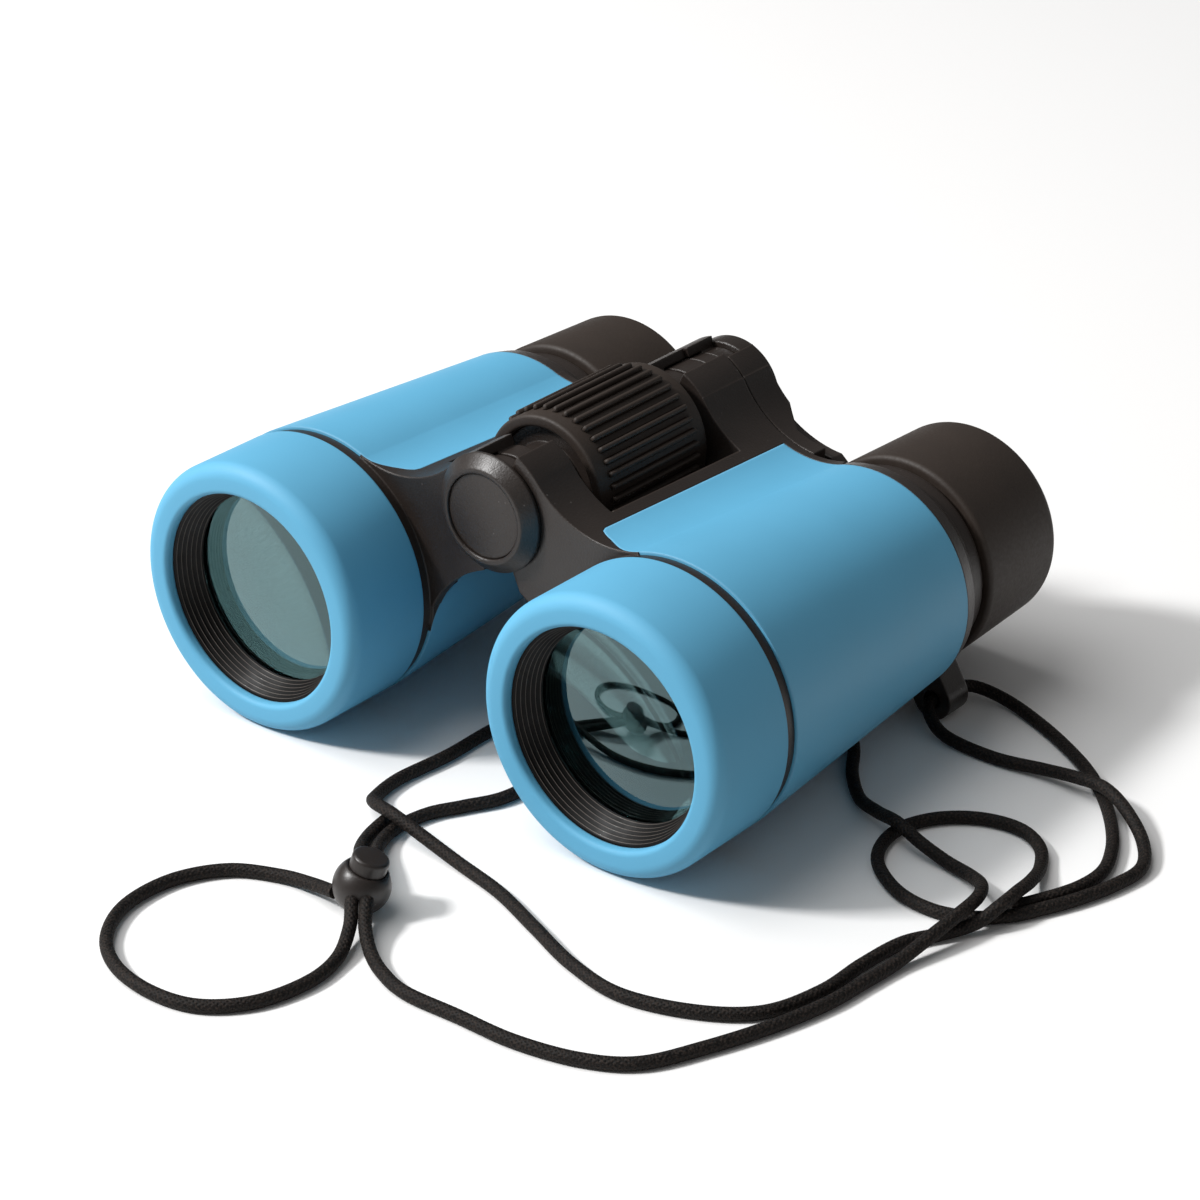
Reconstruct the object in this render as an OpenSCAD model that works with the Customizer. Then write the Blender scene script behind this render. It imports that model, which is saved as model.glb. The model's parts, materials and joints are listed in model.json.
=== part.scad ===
// Toy binoculars: two tapered barrels folding on a centre hinge, a ribbed focus wheel that
// drives both eyepieces through focus arms, rubber grips, and a neck cord with a cord lock.
// Millimetres. +X is the right barrel, the front faces -Y and the part stands on z = 0.

/* [Barrels] */
// Distance between the two barrel axes
barrel_spacing = 69; // [66:0.5:73]
// Outer radius of a front ring
ring_r = 22; // [21:0.25:23]
// Length of a front ring
ring_len = 16.2; // [14:0.2:18]
// Width of a front ring's face, from its outside to its opening
ring_face_w = 4.8; // [4:0.1:5.6]
// Depth of the front ring's lip
lip_len = 1.6; // [1.3:0.1:2.4]
// Width of the groove behind a front ring
groove_len = 2; // [1.5:0.1:3]
// Depth of the groove behind a front ring
groove_depth = 0.5; // [0.3:0.05:1]
// Length of a rubber grip
grip_len = 47.8; // [44:0.2:52]
// How much a grip narrows to its rear end
grip_taper = 3.3; // [2.5:0.1:4.1]
// Wall of a grip
grip_wall = 1.6; // [1.2:0.1:2]
// Length of the bare collar behind a grip
collar_len = 5.4; // [4.6:0.1:7]
// How much the collar narrows behind a grip
collar_taper = 2; // [1.6:0.1:2.4]
// Wall of the collar round the eyepiece tube
collar_wall = 2.5; // [2:0.1:3]
// Wall of a barrel at its nose
nose_wall = 2.5; // [2:0.1:3]

/* [Eyepieces] */
// Gap between a barrel and its eyecup
neck_gap = 3.4; // [3:0.1:5]
// Length of an eyecup
eyecup_len = 19.8; // [16:0.2:24]
// Wall of an eyecup at its front end
eyecup_wall = 2.9; // [2.4:0.1:3.4]
// How much an eyecup narrows to its rear end
eyecup_taper = 0.6; // [0:0.1:1]
// Wall of an eyepiece tube
tube_wall = 1.6; // [1.2:0.1:2.2]
// Length of tube inside the barrel at rest
tube_inside_len = 15; // [12:0.5:20]
// Focus travel of the eyepieces
focus_travel = 5; // [3:0.5:6]

/* [Bridge] */
// Height of the hinge axis above the barrel axes
hinge_rise = 19; // [17.5:0.5:20]
// Radius of the hump over the hinge
hump_r = 11.2; // [10.8:0.1:11.6]
// How much lower the left half's hump is than the right one's
left_hump_drop = 1.8; // [1.4:0.1:2.2]
// Radius of the saddle between hump and barrel
saddle_r = 17.5; // [15:0.5:20]
// Height of the hump over the hinge knuckles
knuckle_step = 3.6; // [3:0.1:4]
// Radius of the hinge axle
axle_r = 2.5; // [2:0.1:3]
// Length of the front arms, from front face to window
front_arm_len = 8.2; // [7.4:0.1:9]
// Length of the rear block, from window to parting line
rear_block_len = 10.1; // [9:0.1:11]
// Gap between the wheel and the window's sides
window_gap = 4; // [3:0.1:4.5]
// Width of the bare strip between the window and a grip
frame_w = 2.1; // [1.6:0.1:3]
// Length of a focus arm along the hinge
focus_arm_len = 6.3; // [5.4:0.1:7]
// Length of a focus arm at its tip
arm_tip_len = 3; // [2.4:0.1:3.6]

/* [Focus wheel] */
// Radius over the wheel's ribs
wheel_r = 11.9; // [11.5:0.1:12.3]
// Gap between the front arms and the wheel
wheel_front_gap = 3.5; // [2:0.1:5]
// Gap between the wheel and the rear block
wheel_rear_gap = 1.8; // [1:0.1:4]
// Number of ribs
rib_count = 36; // [24:1:44]
// Height of a rib
rib_height = 0.8; // [0.4:0.05:1]
// Outer radius of the focus screw
screw_r = 4.4; // [3.9:0.1:4.8]

/* [Lenses] */
// How much smaller an objective lens is than the ring's opening, in radius
lens_step = 1.2; // [0.9:0.1:1.6]
// Distance of the objective's seat from the front
lens_seat = 6.5; // [5.5:0.5:9]
// Number of baffle steps in a lens cell
baffle_count = 6; // [4:1:8]
// Ledge between an eyepiece tube's outside and its lens
eye_lens_ledge = 3.6; // [2.8:0.1:4.4]

/* [Caps and lugs] */
// Height of the hump over the front cap's rim
cap_step = 1.7; // [1.2:0.1:2.2]
// Width of the front cap's chamfer
cap_chamfer_w = 1.9; // [1.4:0.1:2.4]
// Width of the front cap's face round its disc
cap_border_w = 0.85; // [0.6:0.05:1.2]
// Height of the hump over the rear cap
rear_cap_step = 2.7; // [2.2:0.1:3.2]
// Length of the rear cap
rear_cap_len = 4.4; // [3.6:0.2:6]
// Wall of a strap lug round its hole
lug_wall = 1.9; // [1.5:0.1:2.4]
// Length of a strap lug
lug_len = 5; // [4:0.5:6]
// Distance of a lug's hole from its barrel axis, sideways
lug_out = 11; // [9:0.5:12]
// Play of the cord in a lug's hole
lug_play = 0.5; // [0.35:0.05:0.8]

/* [Cord lock] */
// Radius of the cord lock's ball
lock_r = 4.25; // [4:0.05:5]
// Travel of the button
button_travel = 1.2; // [0.8:0.1:1.3]
// Diameter of the neck cord
cord_d = 2; // [1.6:0.1:2.2]

/* [Hidden] */
$fn = 96;

// Overrun of cuts past the faces they open
over = 1;
// Gap between parts that are glued, pressed or inlaid
seat_gap = 0.05;
// Gap of a sliding or turning fit
run_gap = 0.1;
// Gap between parts that move past each other
free_gap = 0.3;
// Steps in a rounded corner
arc_steps = 6;

// Stations along the barrel, from the front
ring_end = ring_len;
grip_start = ring_end + groove_len;
grip_end = grip_start + grip_len;
collar_end = grip_end + collar_len;
eyecup_start = collar_end + neck_gap;
overall_len = eyecup_start + eyecup_len;
front_y = -overall_len / 2;

// Barrel axes and hinge axis
bx = barrel_spacing / 2;
bz = ring_r;
hz = ring_r + hinge_rise;

// Radii that follow the front ring
opening_r = ring_r - ring_face_w;
nose_r = ring_r - grip_wall;
band_r = ring_r - groove_depth;
grip_rear_r = ring_r - grip_taper;
collar_rear_r = grip_rear_r - collar_taper;
tube_r = collar_rear_r - collar_wall;
eyecup_front_r = tube_r + eyecup_wall;
eyecup_rear_r = eyecup_front_r - eyecup_taper;
lens_r = opening_r - lens_step;
eye_lens_r = tube_r - eye_lens_ledge;

// Radii that follow the hump
left_hump_r = hump_r - left_hump_drop;
knuckle_r = hump_r - knuckle_step;
cap_r = hump_r - cap_step;
cap_face_r = cap_r - cap_chamfer_w;
disc_r = cap_face_r - cap_border_w;
rear_cap_r = hump_r - rear_cap_step;

// Bridge stations, from the front
face_y = grip_start - 0.1 * groove_len;
window_start = face_y + front_arm_len;
parting = grip_end + 0.3 * collar_len;
window_end = parting - rear_block_len;
washer_len = 0.7;
front_split = face_y + (front_arm_len - washer_len) / 2;
rear_split = window_end + (rear_block_len - washer_len) / 2;
arm_start = parting + free_gap;
arm_end = arm_start + focus_arm_len;
arm_split = arm_start + focus_arm_len / 2;
bridge_mid = (window_start + window_end) / 2;
window_x = wheel_r + window_gap;
grip_edge_x = window_x + frame_w;

// Sectors of the two halves about the hinge, from the sideways direction, in degrees
right_top = 65;
right_bottom = -67;
left_top = 70;
left_bottom = -79;
right_arm_top = 61;
left_arm_top = 74;
arm_bottom = -25;
// Arch under the bridge: its radius, its centre below the barrel axes and where it runs out
arch_r = 18.9;
arch_drop = 9.1;
arch_run = 1.1;
// Thin front plate of the bridge, and how much higher the arch is behind it
plate_len = 2;
arch_rise = 2.6;

// Front corner of a grip: how far its inner end draws back and how wide the slope is
grip_corner_len = 2.8;
grip_corner_w = 8;
grip_corner_round = 1.2;
// Bare flange at the barrel's inner side: its length and its foot below the barrel axis
flange_len = 6.2;
flange_drop = 5.5;

// Small sizes of the barrel pieces
ring_round = 2.4;
lip_round = 0.8;
edge_round = 0.8;
cell_r = nose_r - nose_wall - seat_gap;
cell_lip = 0.7;
cell_relief = 0.24;
cell_step = 0.2;
baffle_depth = 0.35;
lens_edge = 2.2;
lens_bulge = 1.6;
retainer_len = 2.6;
retainer_wall = 2.4;
bore_wall = 1.6;
guide_run = 6;
guide_len = collar_len + guide_run;
eye_lens_seat = 7.5;
eye_lens_edge = 2.6;
eye_lens_hollow = 0.9;
eyecup_round = 2;
eyecup_flare = 2;
eyecup_mouth_r = eye_lens_r + eyecup_flare;
neck_ring_wall = 1.7;
neck_ring_r = tube_r + neck_ring_wall;
neck_ring_len = 2.4;
neck_ring_gap = free_gap;
arm_neck_w = 4;
arm_tip_w = 4.4;
arm_tip_x = grip_edge_x + arm_tip_w;
web_w = 8;
web_turn = 49;
web_sink = 1.6;
arm_tip_gap = free_gap;

// Small sizes of the hinge pieces
cap_back_gap = 0.2;
cap_chamfer_len = 1.9;
cap_rim_len = 0.5;
cap_len = cap_chamfer_len + cap_rim_len;
cap_y = face_y - cap_back_gap - cap_len;
disc_len = 0.5;
disc_depth = 0.4;
cap_socket = 1.1;
washer_step = 1.1;
washer_r = knuckle_r - washer_step;
hub_wall = 2.1;
hub_r = screw_r + hub_wall;
tyre_wall = 2.7;
wheel_core_r = wheel_r - tyre_wall;
wheel_recess = 1.4;
rim_len = 2.6;
rib_w = 0.8;
wheel_y = window_start + wheel_front_gap;
wheel_len = window_end - wheel_rear_gap - wheel_y;
screw_start = wheel_y + 0.55 * wheel_len;
rear_cap_y = arm_end + seat_gap;
rear_cap_chamfer = 1.2;
rear_border_w = 3.1;
rear_recess_r = rear_cap_r - rear_border_w;
rear_recess_depth = 0.5;
axle_end = rear_cap_y;

// Strap lugs
cord_r = cord_d / 2;
lug_hole_r = cord_r + lug_play;
lug_r = lug_hole_r + lug_wall;
lug_y = collar_end + lug_len / 2;
right_lug = [bx + lug_out, front_y + lug_y - lug_len / 2, lug_r];
left_lug = [-right_lug[0], right_lug[1], right_lug[2]];

// Cord lock, placed from the right lug; its inner sizes follow the ball
lock_from_lug = [-30.5, -100.1];
lock_pos = [right_lug[0] + lock_from_lug[0], right_lug[1] + lock_from_lug[1], lock_r];
lock_turn = 36.9;
button_tilt = 18;
button_r = 0.647 * lock_r;
button_len = 0.647 * lock_r;
button_top = 1.188 * lock_r;
button_foot = button_top - button_len;
button_gap = 0.2;
button_round = 0.5;
lock_flat = 0.682 * lock_r;
spring_r = 0.306 * lock_r;
spring_wire = 0.4;
spring_turns = 5;
spring_foot = -0.518 * lock_r;
spring_pocket_r = 0.412 * lock_r;
cord_grip = 0.624 * lock_r;
strand_gap = 0.15;
strand_side = cord_r + strand_gap / 2;
strand_drop = 0.35;
socket_r = cord_r + strand_gap;
cord_sides = 8;
spring_sides = 6;
spring_steps = 10;

// Where a strand of cord meets the ball: at the bottom of its socket and at the socket's mouth
function strand_point(side, dir, out) =
    lock_pos + [side * strand_side * cos(lock_turn) - dir * out * sin(lock_turn),
        side * strand_side * sin(lock_turn) + dir * out * cos(lock_turn), -strand_drop];
function strand_end(side, dir) = strand_point(side, dir, cord_grip + seat_gap);
function strand_mouth(side, dir) = strand_point(side, dir, lock_r + free_gap);

// A route drawn about one place, moved with it; heights are in cord radii
function moved(p, at) = [for (q = p) [at[0] + q[0], at[1] + q[1], cord_r * q[2]]];

// Routes of the cord over the floor, each point [x, y] from the right lug and z in cord radii
right_steps = [[41.1, -42.7, 1], [43.5, -38.1, 1], [45.8, -32.1, 1], [46.2, -26.1, 1], [44, -20.1, 1],
    [40.5, -14.5, 1], [36, -9.1, 1], [31, -4.3, 1], [25.5, -0.3, 1], [17, 4.4, 1], [8, 7.7, 1.3],
    [2, 6.9, 2.4], [0, 2.9, 3.3], [0, -2.6, 3.3], [1.8, -5.5, 2.4], [6.5, -7.6, 1.2], [15.5, -8.1, 1],
    [24, -7.2, 1.6], [30.5, -7.8, 2.7], [35.8, -9, 3.4], [41, -11.4, 2.6], [46.6, -15.8, 1.4],
    [50, -21.6, 1], [49.5, -28.1, 1], [47.5, -34.6, 1], [45, -40.1, 1], [42.5, -44.6, 1],
    [38.5, -48.3, 1], [33, -50.2, 1], [26.5, -49.2, 1], [20, -44.9, 1], [17, -39.6, 1],
    [16.7, -33.6, 1], [19.5, -28.1, 1], [24.5, -24.4, 1], [30.5, -23.5, 1], [35.5, -26.1, 1],
    [38.8, -31.1, 1.2], [40.8, -36.6, 2.4], [41.8, -41.6, 3.4], [41.9, -46.1, 3.3], [40.5, -50.1, 1.7],
    [37.8, -54.4, 1], [34.8, -60.1, 1], [33.7, -68.1, 1], [33.3, -77.1, 1], [30.3, -86.1, 1],
    [23, -91.9, 1], [12.5, -95.1, 1], [2.5, -93.4, 1], [-7.5, -89.4, 1], [-17.5, -85.4, 1],
    [-27.5, -83.1, 1.2], [-35.5, -82.1, 2.4], [-41.5, -81.5, 3.4], [-46.3, -80.1, 2.9],
    [-49.3, -76.6, 1.3], [-50.5, -70.1, 1], [-49.5, -60.1, 1], [-49.5, -50.1, 1], [-48.5, -38.1, 1],
    [-43.5, -26.1, 1], [-34.5, -16.6, 1], [-25, -12.6, 1], [-23.5, -12.3, 1]];
front_steps = [[-23.5, -12.3, 1], [-22, -12, 1], [-13.5, -12.6, 1], [-6.5, -15.6, 1], [-2.5, -19.6, 1],
    [1.5, -25.6, 1], [6.8, -31.1, 1.1], [12.5, -34.6, 2.4], [17.5, -36.7, 3.4], [22.5, -37.9, 2.4],
    [27.5, -38.4, 1.3], [32.5, -39.7, 1.5], [36.2, -42.5, 2.6], [38.5, -47.1, 3.6],
    [38.9, -52.5, 3.6], [38.3, -58.1, 2.6], [37.3, -65.1, 1.2], [36.5, -72.1, 1], [35.7, -79.1, 1],
    [33.3, -88.1, 1], [29.3, -98.1, 1], [24.8, -106.4, 1], [18, -110.7, 1], [8.5, -112.9, 1],
    [-1.5, -113.1, 1], [-10.5, -113.3, 1], [-16, -111.7, 1], [-20.5, -109.3, 1.3],
    [-24.4, -106.2, 2.6]];
// The left strand, from the left lug until it crosses the right one, then from the lock
left_start_steps = [[0, -2.6, 3.3], [0, 2.9, 3.3], [1.7, 7.9, 2.4], [8.5, 11.9, 1.1]];
left_end_steps = [[-42, 111.5, 1], [-31, 107, 1], [-21, 99, 1], [-14.5, 88.5, 1.6], [-9.4, 78, 3.4],
    [-5.8, 68, 1.8], [-3.8, 57, 1], [-3.2, 46, 1], [-4, 36, 1], [-7, 30, 1], [-9.7, 25, 1],
    [-10.6, 19, 1], [-8.7, 13.2, 1.6], [-4.4, 7.6, 3]];
// The loop and the tail, from the lock
loop_steps = [[4.3, -7.4, 2.3], [7, -13, 1.1], [7.8, -20, 1], [5.5, -28, 1], [0, -33.5, 1],
    [-7.5, -35, 1], [-15.5, -33.5, 1], [-22, -29, 1], [-26, -21.5, 1], [-25.8, -12.5, 1],
    [-21.5, -5.3, 1], [-14.5, -1.8, 1.1], [-8.5, -1.4, 1.8], [-3.1, -2.4, 3]];
tail_steps = [[-6.1, 6.3, 3], [-10, 10.5, 1.6], [-12.2, 14.5, 1], [-13.1, 18.2, 1],
    [-13.5, 21.4, 1]];

right_route = moved(right_steps, right_lug);
front_route = concat(moved(front_steps, right_lug), [strand_mouth(1, -1), strand_end(1, -1)]);
left_route = concat(moved(left_start_steps, left_lug), moved(left_end_steps, lock_pos),
    [strand_mouth(1, 1), strand_end(1, 1)]);
loop_route = concat([strand_end(-1, -1), strand_mouth(-1, -1)], moved(loop_steps, lock_pos));
tail_route = concat([strand_end(-1, 1), strand_mouth(-1, 1)], moved(tail_steps, lock_pos));

// Points of a quarter-round corner about a centre, from one angle to another
function corner(x, y, r, from, to) =
    [for (i = [0:arc_steps]) [x + r * cos(from + (to - from) * i / arc_steps),
        y + r * sin(from + (to - from) * i / arc_steps)]];

// Radius of a grip's outside at a station, and its share of the grip's length
function grip_r(y) = ring_r + (grip_rear_r - ring_r) * (y - grip_start) / grip_len;

// Centre of the saddle's arc, which touches the hump and a barrel of radius rb
function saddle_centre(rb, hump) =
    let (d = norm([bx, hinge_rise]), near = hump + saddle_r, far = rb + saddle_r,
        along = (near * near - far * far + d * d) / (2 * d),
        off = sqrt(near * near - along * along))
    [along * bx / d + off * hinge_rise / d, hz - along * hinge_rise / d + off * bx / d];

// Point of a tube's ring number i on a route
function unit(v) = v / norm(v);
function tangent(p, i) = unit(p[min(i + 1, len(p) - 1)] - p[max(i - 1, 0)]);
function side_of(t) = unit(cross(t, [0, 0, 1]));
function ring_point(p, i, k, r, n) =
    let (t = tangent(p, i), s = side_of(t), u = cross(s, t), a = 360 * (k + 0.5) / n)
    p[i] + r * (cos(a) * s + sin(a) * u);

// A round tube along a route, closed at both ends
module tube_along(p, r, n) {
    rings = len(p);
    points = [for (i = [0:rings - 1]) for (k = [0:n - 1]) ring_point(p, i, k, r, n)];
    walls = [for (i = [0:rings - 2]) for (k = [0:n - 1])
        let (a = i * n + k, b = i * n + (k + 1) % n)
        for (f = [[a, b, a + n], [b, b + n, a + n]]) f];
    first = [for (k = [1:n - 2]) [0, k + 1, k]];
    last = [for (k = [1:n - 2]) [(rings - 1) * n, (rings - 1) * n + k, (rings - 1) * n + k + 1]];
    polyhedron(points = points, faces = concat(walls, first, last));
}

// Placing helpers: pieces revolved about the right barrel or the hinge, from radius and station
module on_barrel() translate([bx, front_y, bz]) rotate([-90, 0, 0]) rotate_extrude() children();
module on_hinge() translate([0, front_y, hz]) rotate([-90, 0, 0]) rotate_extrude() children();
module to_left() mirror([1, 0, 0]) children();

// Extrudes an outline drawn in x and z between two stations
module between(y0, y1)
    translate([0, front_y + y1, 0]) rotate([90, 0, 0]) linear_extrude(y1 - y0) children();

// A rod about the hinge, and a washer or tube about it
module hinge_rod(r, y0, y1) on_hinge() translate([0, y0]) square([r, y1 - y0]);
module hinge_tube(r0, r1, y0, y1) on_hinge() translate([r0, y0]) square([r1 - r0, y1 - y0]);

// The cylinder that cuts the saddle, leaning with the taper of the barrel
module saddle_cutter(r, hump) {
    a = saddle_centre(ring_r, hump);
    b = saddle_centre(grip_rear_r, hump);
    step = [b[0] - a[0], grip_len, b[1] - a[1]];
    run = norm(step);
    start = [a[0], front_y + grip_start, a[1]] - step;
    translate(start)
        rotate([0, acos(step[2] / run), atan2(step[1], step[0])])
            cylinder(r = r, h = 3 * run);
}

// Sector about the hinge that one half keeps
module sector(top, bottom) {
    reach = overall_len;
    polygon([[0, hz], [reach * cos(top), hz + reach * sin(top)], [reach, hz],
        [reach * cos(bottom), hz + reach * sin(bottom)]]);
}

// Sideways place of the arch's centre, so that the arch runs out at the side of a barrel of radius rb
function arch_x(rb) = bx - rb - sqrt(arch_r * arch_r - pow(arch_drop - arch_run, 2));

// Outline of the right half of the bridge in x and z, before the saddle is cut
module bridge_outline(top, bottom, rb, hump, rise) {
    c = saddle_centre(ring_r, hump);
    hump_touch = [0, hz] + hump * unit(c - [0, hz]);
    barrel_touch = [bx, bz] + ring_r * unit(c - [bx, bz]);
    intersection() {
        difference() {
            union() {
                translate([0, hz]) circle(hump);
                polygon([[0, hz], hump_touch, barrel_touch, [bx, bz], [bx - nose_r / 2, bz - arch_run],
                    [0, bz - arch_run]]);
            }
            translate([arch_x(rb), bz - arch_drop]) circle(arch_r + rise);
        }
        sector(top, bottom);
    }
}

// Front edge of a grip over the saddle, an S from its inner corner to the barrel, grown by a gap
function grip_front(gap) =
    [for (i = [1:arc_steps]) [grip_edge_x - gap + (grip_corner_w + gap) * i / arc_steps,
        grip_start - gap + grip_corner_len * (1 + cos(180 * i / arc_steps)) / 2]];

// Area that a grip covers over the saddle, seen from above, grown by a gap
module grip_zone(gap) {
    corner_y = grip_start + grip_corner_len - gap;
    translate([0, front_y, 0])
        linear_extrude(2 * hz)
            polygon(concat([[grip_edge_x - gap, corner_y + grip_corner_round],
                [grip_edge_x - gap + 0.3 * grip_corner_round, corner_y + 0.3 * grip_corner_round]],
                grip_front(gap), [[bx, grip_start - gap], [bx, grip_end + gap],
                [grip_edge_x - gap, grip_end + gap]]));
}

// The right half of the bridge, with its bed for the grip
module bridge(top, bottom, gap, hump) {
    plate_end = face_y + plate_len;
    difference() {
        union() {
            between(face_y, plate_end) bridge_outline(top, bottom, ring_r, hump, 0);
            between(plate_end, bridge_mid) bridge_outline(top, bottom, ring_r, hump, arch_rise);
            between(bridge_mid, parting) bridge_outline(top, bottom, grip_r(window_end), hump, 0);
        }
        saddle_cutter(saddle_r, hump);
        intersection() {
            saddle_cutter(saddle_r + grip_wall + gap, hump);
            grip_zone(gap);
        }
    }
}

// Outside of a grip's tapered sleeve
module grip_cone()
    on_barrel() polygon([[0, grip_start], [ring_r, grip_start], [grip_rear_r, grip_end], [0, grip_end]]);

// Part of the sleeve that the bare flange takes, at the barrel's inner side behind the front wall
module flange_zone(gap) {
    foot = bz - flange_drop;
    back = front_y + grip_start + flange_len;
    difference() {
        translate([0, front_y + grip_start - over, foot])
            cube([bx, flange_len + over, flange_drop + groove_len]);
        translate([-over, back, foot]) rotate([0, 90, 0]) cylinder(r = flange_len - gap, h = barrel_spacing);
    }
}

// Outside of the barrel moulding under the ring, the grip and at the collar
module barrel_outside() {
    on_barrel()
        polygon(concat([[0, lip_len], [nose_r, lip_len], [nose_r, ring_end + seat_gap],
            [band_r, ring_end + seat_gap], [band_r, grip_start - seat_gap],
            [grip_r(grip_start) - grip_wall - seat_gap, grip_start - seat_gap],
            [grip_r(grip_start) - grip_wall - seat_gap, grip_start],
            [grip_r(grip_end) - grip_wall - seat_gap, grip_end + seat_gap],
            [grip_r(grip_end), grip_end + seat_gap]],
            [[(grip_rear_r + collar_rear_r) / 2 + edge_round / 2, (grip_end + collar_end) / 2]],
            corner(collar_rear_r - edge_round, collar_end - edge_round, edge_round, 0, 90),
            [[0, collar_end]]));
}

// Hollow of the barrel: lens seat, tapered light path and guide for the eyepiece tube
module barrel_hollow() {
    seat_end = lens_seat + lens_edge + retainer_len + seat_gap;
    seat_r = nose_r - nose_wall;
    guide_r = tube_r + run_gap;
    on_barrel()
        polygon([[0, lip_len - over], [seat_r, lip_len - over], [seat_r, seat_end],
            [seat_r - bore_wall / 2, seat_end], [guide_r + bore_wall / 2, collar_end - guide_len],
            [guide_r, collar_end - guide_len], [guide_r, collar_end + over], [0, collar_end + over]]);
}

// Strap lug under the rear of the barrel; its round end is a foot
module strap_lug() {
    lean = atan2(lug_out, bz - lug_r);
    difference() {
        between(lug_y - lug_len, lug_y)
            difference() {
                union() {
                    translate([bx + lug_out, lug_r]) circle(lug_r);
                    translate([bx + lug_out, lug_r]) rotate(lean)
                        translate([-lug_r, 0]) square([2 * lug_r, collar_rear_r - lug_r]);
                }
                translate([bx + lug_out, lug_r]) circle(lug_hole_r);
            }
        on_barrel() translate([0, collar_end]) square([collar_rear_r + edge_round, lug_len]);
        on_barrel() translate([0, collar_end - lug_len]) square([collar_rear_r - edge_round, 2 * lug_len]);
    }
}

// One half of the body. The front and rear knuckle stations tell the two halves apart.
module body_half(top, bottom, front_knuckle, rear_knuckle, front_clear, rear_clear, hump) {
    difference() {
        union() {
            barrel_outside();
            intersection() {
                grip_cone();
                flange_zone(0);
            }
            difference() {
                bridge(top, bottom, seat_gap, hump);
                between(window_start, window_end)
                    translate([-window_x, 0]) square([2 * window_x, 2 * hz]);
                hinge_rod(knuckle_r + free_gap, front_clear[0], front_clear[1]);
                hinge_rod(knuckle_r + free_gap, rear_clear[0], rear_clear[1]);
            }
            hinge_rod(knuckle_r, front_knuckle[0], front_knuckle[1]);
            hinge_rod(knuckle_r, rear_knuckle[0], rear_knuckle[1]);
            strap_lug();
        }
        barrel_hollow();
        hinge_rod(axle_r + run_gap, face_y - over, window_start + over);
        hinge_rod(screw_r + run_gap, window_end - over, parting + over);
    }
}

module right_body() color("#2e2724")
    body_half(right_top, right_bottom, [face_y, front_split], [rear_split + washer_len, parting],
        [front_split, window_start + over], [window_end - over, rear_split + washer_len], hump_r);

module left_body() color("#2e2724") to_left()
    body_half(left_top, left_bottom, [front_split + washer_len, window_start], [window_end, rear_split],
        [face_y - over, front_split + washer_len], [rear_split, parting + over], left_hump_r);

// Rubber grip: a tapered sleeve whose upper inner edge runs up the saddle
module grip(top, bottom, hump) {
    difference() {
        union() {
            grip_cone();
            intersection() {
                difference() {
                    between(grip_start, grip_end) bridge_outline(top, bottom, ring_r, hump, 0);
                    saddle_cutter(saddle_r, hump);
                }
                grip_zone(0);
            }
        }
        on_barrel()
            polygon([[0, grip_start - over], [grip_r(grip_start - over) - grip_wall, grip_start - over],
                [grip_r(grip_end + over) - grip_wall, grip_end + over], [0, grip_end + over]]);
        bridge(top, bottom, 0, hump);
        flange_zone(seat_gap);
    }
}
module right_grip() color("#55aadc") grip(left_top, left_bottom, hump_r);
module left_grip() color("#55aadc") to_left() grip(left_top, left_bottom, left_hump_r);

// Front ring: a cap with a soft round lip, pressed over the barrel's nose
module front_ring() {
    on_barrel()
        polygon(concat(corner(opening_r + lip_round, lip_round, lip_round, 180, 270),
            corner(ring_r - ring_round, ring_round, ring_round, -90, 0),
            [[ring_r, ring_end], [nose_r + seat_gap, ring_end], [nose_r + seat_gap, lip_len],
                [opening_r, lip_len]]));
}
module right_front_ring() color("#55aadc") front_ring();
module left_front_ring() color("#55aadc") to_left() front_ring();

// Lens cell: a stepped black baffle in front of the objective
module lens_cell() {
    front = lip_len + seat_gap;
    mouth_r = opening_r - cell_step;
    throat_r = lens_r - cell_lip;
    back = lens_seat - cell_relief;
    pitch = (back - front) / baffle_count;
    slope = (mouth_r - throat_r) / baffle_count;
    steps = [for (i = [0:baffle_count - 1]) for (q = [
        [mouth_r - i * slope, front + i * pitch],
        [mouth_r - i * slope - slope, front + (i + 0.4) * pitch],
        [mouth_r - i * slope - slope + baffle_depth, front + (i + 0.6) * pitch]]) q];
    on_barrel()
        polygon(concat([[cell_r, front]], steps, [[throat_r, back], [lens_r + seat_gap, lens_seat],
            [lens_r + seat_gap, lens_seat + lens_edge], [cell_r, lens_seat + lens_edge]]));
}
module right_lens_cell() color("#191716") lens_cell();
module left_lens_cell() color("#191716") to_left() lens_cell();

// Objective lens: flat at the back and domed at the front
module objective_lens() {
    ball_r = (lens_r * lens_r + lens_bulge * lens_bulge) / (2 * lens_bulge);
    front = lens_seat + seat_gap;
    back = lens_seat + lens_edge;
    on_barrel()
        polygon(concat(corner(0, front - lens_bulge + ball_r, ball_r, -90, -90 + asin(lens_r / ball_r)),
            [[lens_r, back], [0, back]]));
}
module right_objective_lens() color("#9fc4c8") objective_lens();
module left_objective_lens() color("#9fc4c8") to_left() objective_lens();

// Ring that holds the objective from behind
module lens_retainer() {
    start = lens_seat + lens_edge + seat_gap;
    on_barrel() translate([cell_r - retainer_wall, start]) square([retainer_wall, retainer_len]);
}
module right_lens_retainer() color("#191716") lens_retainer();
module left_lens_retainer() color("#191716") to_left() lens_retainer();

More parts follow.
